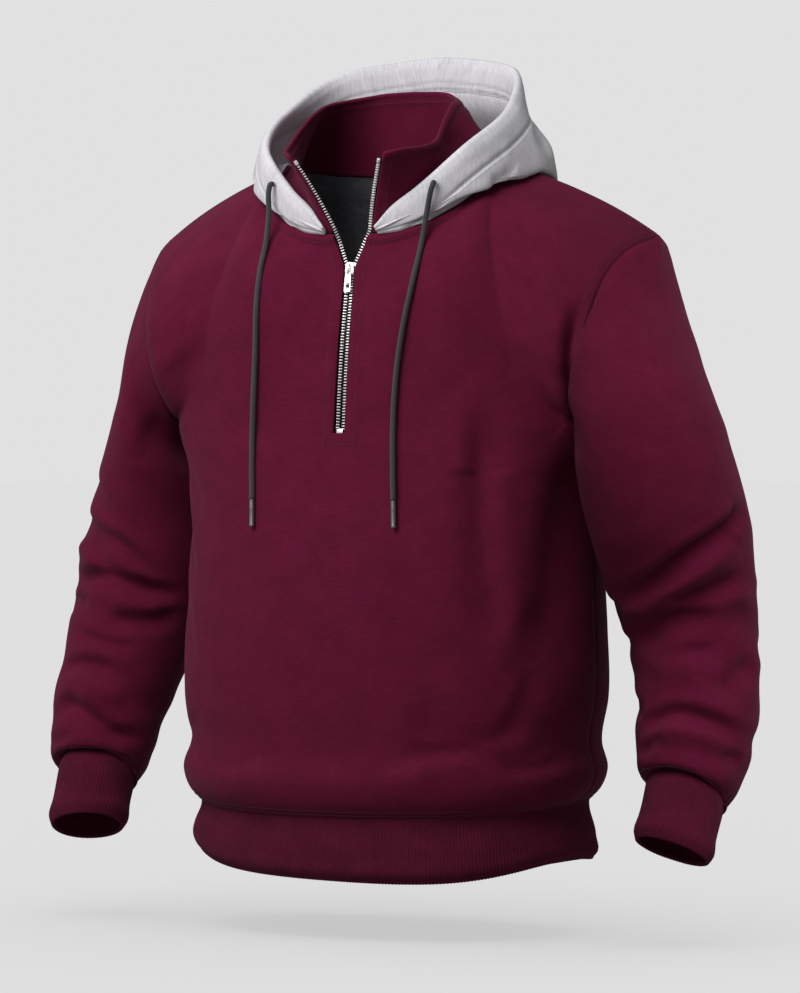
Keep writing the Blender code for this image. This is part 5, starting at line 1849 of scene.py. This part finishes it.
def piece_from(shape, name, place, *node_names, body="garment"):
    """A bmesh of nickel as a finished piece at its place."""
    shape.transform(place)
    mesh = bpy.data.meshes.new(name)
    shape.to_mesh(mesh)
    shape.free()
    mesh.materials.append(nickel)
    made = add_object(name, mesh)
    outward_faces(made)
    mesh.polygons.foreach_set("use_smooth", np.ones(len(mesh.polygons), bool))
    mesh.set_sharp_from_angle(angle=np.radians(40))
    part_of(made, "nickel", *node_names, body=body)

# %% [markdown]
# ## The slider
#
# The slider is a cast wedge: wide where the two rows enter, narrow where they
# leave joined, with a bridge over its top that holds the tab. It is two plates
# with the wedge between them and flanges at the sides.

# %% Cast the slider and its bridge
PULL_LENGTH, PULL_WIDTH, PULL_THICK, PULL_OUT = 0.0240, 0.0072, 0.0012, 0.0018
BRIDGE_HALF_WIDTH = 0.0011


def wedge_outline(top, bottom, length):
    """A slider's plate seen from the front, wide above and narrow below."""
    right = [
        (bottom * 0.80, -length / 2), (bottom, -length * 0.40), (bottom * 1.02, -length * 0.10),
        (top, length * 0.18), (top, length * 0.36), (top * 0.78, length * 0.47),
        (top * 0.30, length / 2),
    ]
    return right + [(-x, y) for x, y in right[::-1]]


pivot = Vector(next(iter(frame["record"]["behaviour"]["joints"]))["pos_m"])
above = int(np.argmax(spot[:, 2] > SLIDER_HEIGHT))
zip_side = Vector((1, 0, 0))
zip_up = Vector((spot[above + 2] - spot[above - 3]) * (0, 1, 1)).normalized()
zip_face = zip_side.cross(zip_up)
slider_place = placing(pivot - zip_face * PULL_OUT, zip_side, zip_up, zip_face)

shape = bmesh.new()
for low, high in ((-0.0005, 0.0008), (-0.0066, -0.0055)):
    plate(shape, wedge_outline(0.0047, 0.0036, 0.0126), low, high, 0.0003)
wedge = [(-0.0005, 0.0018), (0.0005, 0.0018), (0.0014, 0.0058), (-0.0014, 0.0058)]
plate(shape, wedge, -0.0060, 0.0002, 0.0001)
for sign in (-1, 1):
    flange = [(0.0034, -0.0058), (0.0046, -0.0052), (0.0046, 0.0024), (0.0040, 0.0024)]
    flange = [(sign * x, y) for x, y in flange][::sign]
    for low, high in ((-0.0018, 0.0002), (-0.0060, -0.0044)):
        plate(shape, flange, low, high, 0.0001)
piece_from(shape, "slider_body", slider_place, "zip_slider")

# the bridge is an arch over the slider, a flat-bottomed strip five points round
BRIDGE_LINE = (
    (-0.0044, 0.0002), (-0.0042, 0.0022), (-0.0030, 0.0036), (0.0, 0.0040),
    (0.0030, 0.0036), (0.0042, 0.0022), (0.0044, 0.0002),
)
BRIDGE_SECTION = ((-1, -0.00035), (-9 / 11, 0.0004), (0, 0.0005), (9 / 11, 0.0004), (1, -0.00035))
shape = bmesh.new()
rings = []
for y, z in along(BRIDGE_LINE, np.linspace(0, 1, 17)):
    tilt = np.arctan2(z - 0.0012, y)
    rings.append([
        shape.verts.new((w * BRIDGE_HALF_WIDTH, y + r * np.cos(tilt), z + r * np.sin(tilt)))
        for w, r in BRIDGE_SECTION
    ])
for a, b in zip(rings, rings[1:]):
    for k in range(len(BRIDGE_SECTION)):
        n = (k + 1) % len(BRIDGE_SECTION)
        shape.faces.new((a[k], a[n], b[n], b[k]))
shape.faces.new(rings[0][::-1])
shape.faces.new(rings[-1])
piece_from(shape, "slider_bridge", slider_place)

# %% [markdown]
# ## The pull tab
#
# The tab is stamped from sheet, narrower at the eye on the bridge, with a plain
# slot near its end. It is laid out as a plate of cells, with those of its two
# holes left out, and it rides the body that swings.

# %% Stamp the pull tab
across = np.array([-1, -0.93, -0.55, 0, 0.55, 0.93, 1.0]) * PULL_WIDTH / 2
down = np.array([
    -0.0008, -0.0002, 0.0006, 0.0030, 0.0052, 0.0060, 0.0100, 0.0145, 0.0153, 0.0203, 0.0211,
    0.0232, PULL_LENGTH,
])
waist = np.interp(down, (0, 0.004, 0.009, PULL_LENGTH), (0.62, 0.66, 0.96, 1.0))
holes = {(r, c) for r in (2, 3, 4, 8) for c in (2, 3)}
kept = {(r, c) for r in range(len(down) - 1) for c in range(len(across) - 1)} - holes
shape = bmesh.new()
low, high = (
    [[shape.verts.new((x * w, -y, height)) for x in across] for y, w in zip(down, waist)]
    for height in (PULL_OUT - PULL_THICK / 2, PULL_OUT + PULL_THICK / 2)
)
for r, c in kept:
    shape.faces.new((high[r + 1][c], high[r + 1][c + 1], high[r][c + 1], high[r][c]))
    shape.faces.new((low[r][c], low[r][c + 1], low[r + 1][c + 1], low[r + 1][c]))
    for beside, (ar, ac), (br, bc) in (
        ((r - 1, c), (r, c + 1), (r, c)), ((r + 1, c), (r + 1, c), (r + 1, c + 1)),
        ((r, c - 1), (r, c), (r + 1, c)), ((r, c + 1), (r + 1, c + 1), (r, c + 1)),
    ):
        if beside not in kept:
            shape.faces.new((high[ar][ac], low[ar][ac], low[br][bc], high[br][bc]))
for v in [v for v in shape.verts if not v.link_faces]:
    shape.verts.remove(v)
shape.normal_update()
rim = [e for e in shape.edges if len(e.link_faces) == 2 and e.calc_face_angle(0) > 0.8]
bmesh.ops.bevel(shape, geom=rim, offset=0.00022, **ROUND_EDGE)
piece_from(shape, "pull_tab_plate", slider_place, "zip_pull", body="pull_tab")

# %% [markdown]
# ## The stops
#
# A stop is a small crimp that keeps the slider on the zip: one across both rows at
# the bottom, and one at the top of each row.

# %% Crimp the stops
def crimp(name, node_name, low, high, across, up, out):
    """A stop: a small block with rounded edges at the middle of its solid."""
    shape = bmesh.new()
    block(shape, low, high, 0.0006)
    middle = Vector(np.mean(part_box(node_name), axis=0))
    piece_from(shape, name, placing(middle, across, up, out), node_name)


up_way = Vector((spot[6] - spot[0]) * (0, 1, 1)).normalized()
crimp(
    "bottom_stop", "zip_bottom_stop", (-0.0034, -0.0020, -0.0019), (0.0034, 0.0024, 0.0017),
    zip_side, up_way, zip_side.cross(up_way),
)
for side, sign in (("left", 1), ("right", -1)):
    up_way = Vector((spot[-1] - spot[-6]) * (sign, 1, 1)).normalized()
    side_way = up_way.cross(Vector(out_way[-3] * (sign, 1, 1))).normalized()
    crimp(
        f"top_stop_{side}", f"zip_top_stop_{side}", (-0.0014, -0.0024, -0.0017),
        (0.0014, 0.0024, 0.0017), side_way, up_way, side_way.cross(up_way),
    )

# %% [markdown]
# ## Floor and room
#
# The floor is a wide matt disc that glows a little, so that it meets the pale
# room. The camera sees the room bright, and the cloth gets a quarter of it.

# %% Set the floor and the room
FLOOR_HEIGHT = -0.775
FLOOR_RADIUS = 30
BACKDROP = "#E1E1E1"

scene = bpy.context.scene
scene.view_settings.view_transform = "Standard"
scene.view_settings.look = "None"

shape = bmesh.new()
bmesh.ops.create_circle(shape, cap_ends=True, radius=FLOOR_RADIUS, segments=96)
mesh = bpy.data.meshes.new("studio_floor")
shape.to_mesh(mesh)
shape.free()
for vertex in mesh.vertices:
    vertex.co.z += FLOOR_HEIGHT
material, tree, shader = new_material("pale_paper_sweep")
set_inputs(tree, shader, {
    "Base Color": colour("#A2A2A2"), "Emission Color": colour(BACKDROP), "Emission Strength": 0.72,
    "Roughness": 1.0, "Specular IOR Level": 0.0,
})
mesh.materials.append(material)
floor = add_object("studio_floor", mesh)
floor.visible_diffuse = floor.visible_glossy = False

world = bpy.data.worlds.new("pale_room")
world.use_nodes = True
scene.world = world
tree = world.node_tree
tree.nodes.clear()
camera_ray = node(tree, "ShaderNodeLightPath").outputs["Is Camera Ray"]
backdrop = result(tree, "ShaderNodeBackground", {"Color": colour(BACKDROP), "Strength": 1.0})
room = result(tree, "ShaderNodeBackground", {"Color": (1, 1, 1, 1), "Strength": 0.24})
seen = result(tree, "ShaderNodeMixShader", {0: camera_ray, 1: room, 2: backdrop})
node(tree, "ShaderNodeOutputWorld", {"Surface": seen})

# %% [markdown]
# ## Lamps
#
# One broad soft light from the left models the folds, weak ones from the far left
# and above fill them, and the room does the rest. Lamps are flagged, as in a
# studio: the wearer's left sleeve has a lamp of its own from the upper right, a
# weak one lights only the hood and collar, and the top light reaches only the
# floor, so one soft shadow lies under the hem.

# %% Hang the lamps
LIGHTS = (
    # name, turn from the front and height (degrees), strength, softness (degrees),
    # metres from the chest (0 for a far light), what it lights
    ("key_light", -13, 34, 1.05, 42, 1.7, "body"),
    ("side_light", -75, 30, 0.09, 50, 0, "garment"),
    ("sleeve_light", 38, 48, 0.78, 40, 0, "sleeve"),
    ("neck_light", -4, 48, 0.09, 50, 0, "neck"),
    ("top_light", 0, 86, 0.32, 66, 0, "floor"),
    ("crown_light", 0, 80, 0.17, 66, 0, "garment"),
)
CHEST = Vector((0, 0, -0.15))
LEFT_SLEEVE = ("sleeve_left", "cuff_left")


def named(piece, words):
    """Whether any of the words is in the piece's name."""
    return any(word in piece.name for word in words)


pieces = [piece for piece in scene.objects if piece.type == "MESH" and piece != floor]
LIT = {
    "garment": pieces,
    "neck": [piece for piece in pieces if named(piece, ("hood", "collar"))],
    "sleeve": [piece for piece in pieces if named(piece, LEFT_SLEEVE)],
    "body": [piece for piece in pieces if not named(piece, LEFT_SLEEVE)],
    "floor": [floor],
}
lit = {}
for group, members in LIT.items():
    lit[group] = bpy.data.collections.new(f"lit_{group}")
    for piece in members:
        lit[group].objects.link(piece)
for name, turn, rise, strength, softness, distance, receivers in LIGHTS:
    turn, rise, softness = np.radians((turn, rise, softness))
    source = direction(turn, rise)
    lamp = bpy.data.lights.new(name, "AREA" if distance else "SUN")
    if distance:
        lamp.shape = "DISK"
        lamp.size = 2 * distance * np.tan(softness / 2)
        lamp.energy = strength * (pi * distance) ** 2
    else:
        lamp.energy = strength * pi
        lamp.angle = softness
    made = add_object(name, lamp)
    made.location = CHEST + source * distance
    made.rotation_euler = source.to_track_quat("Z", "Y").to_euler()
    made.light_linking.receiver_collection = lit[receivers]
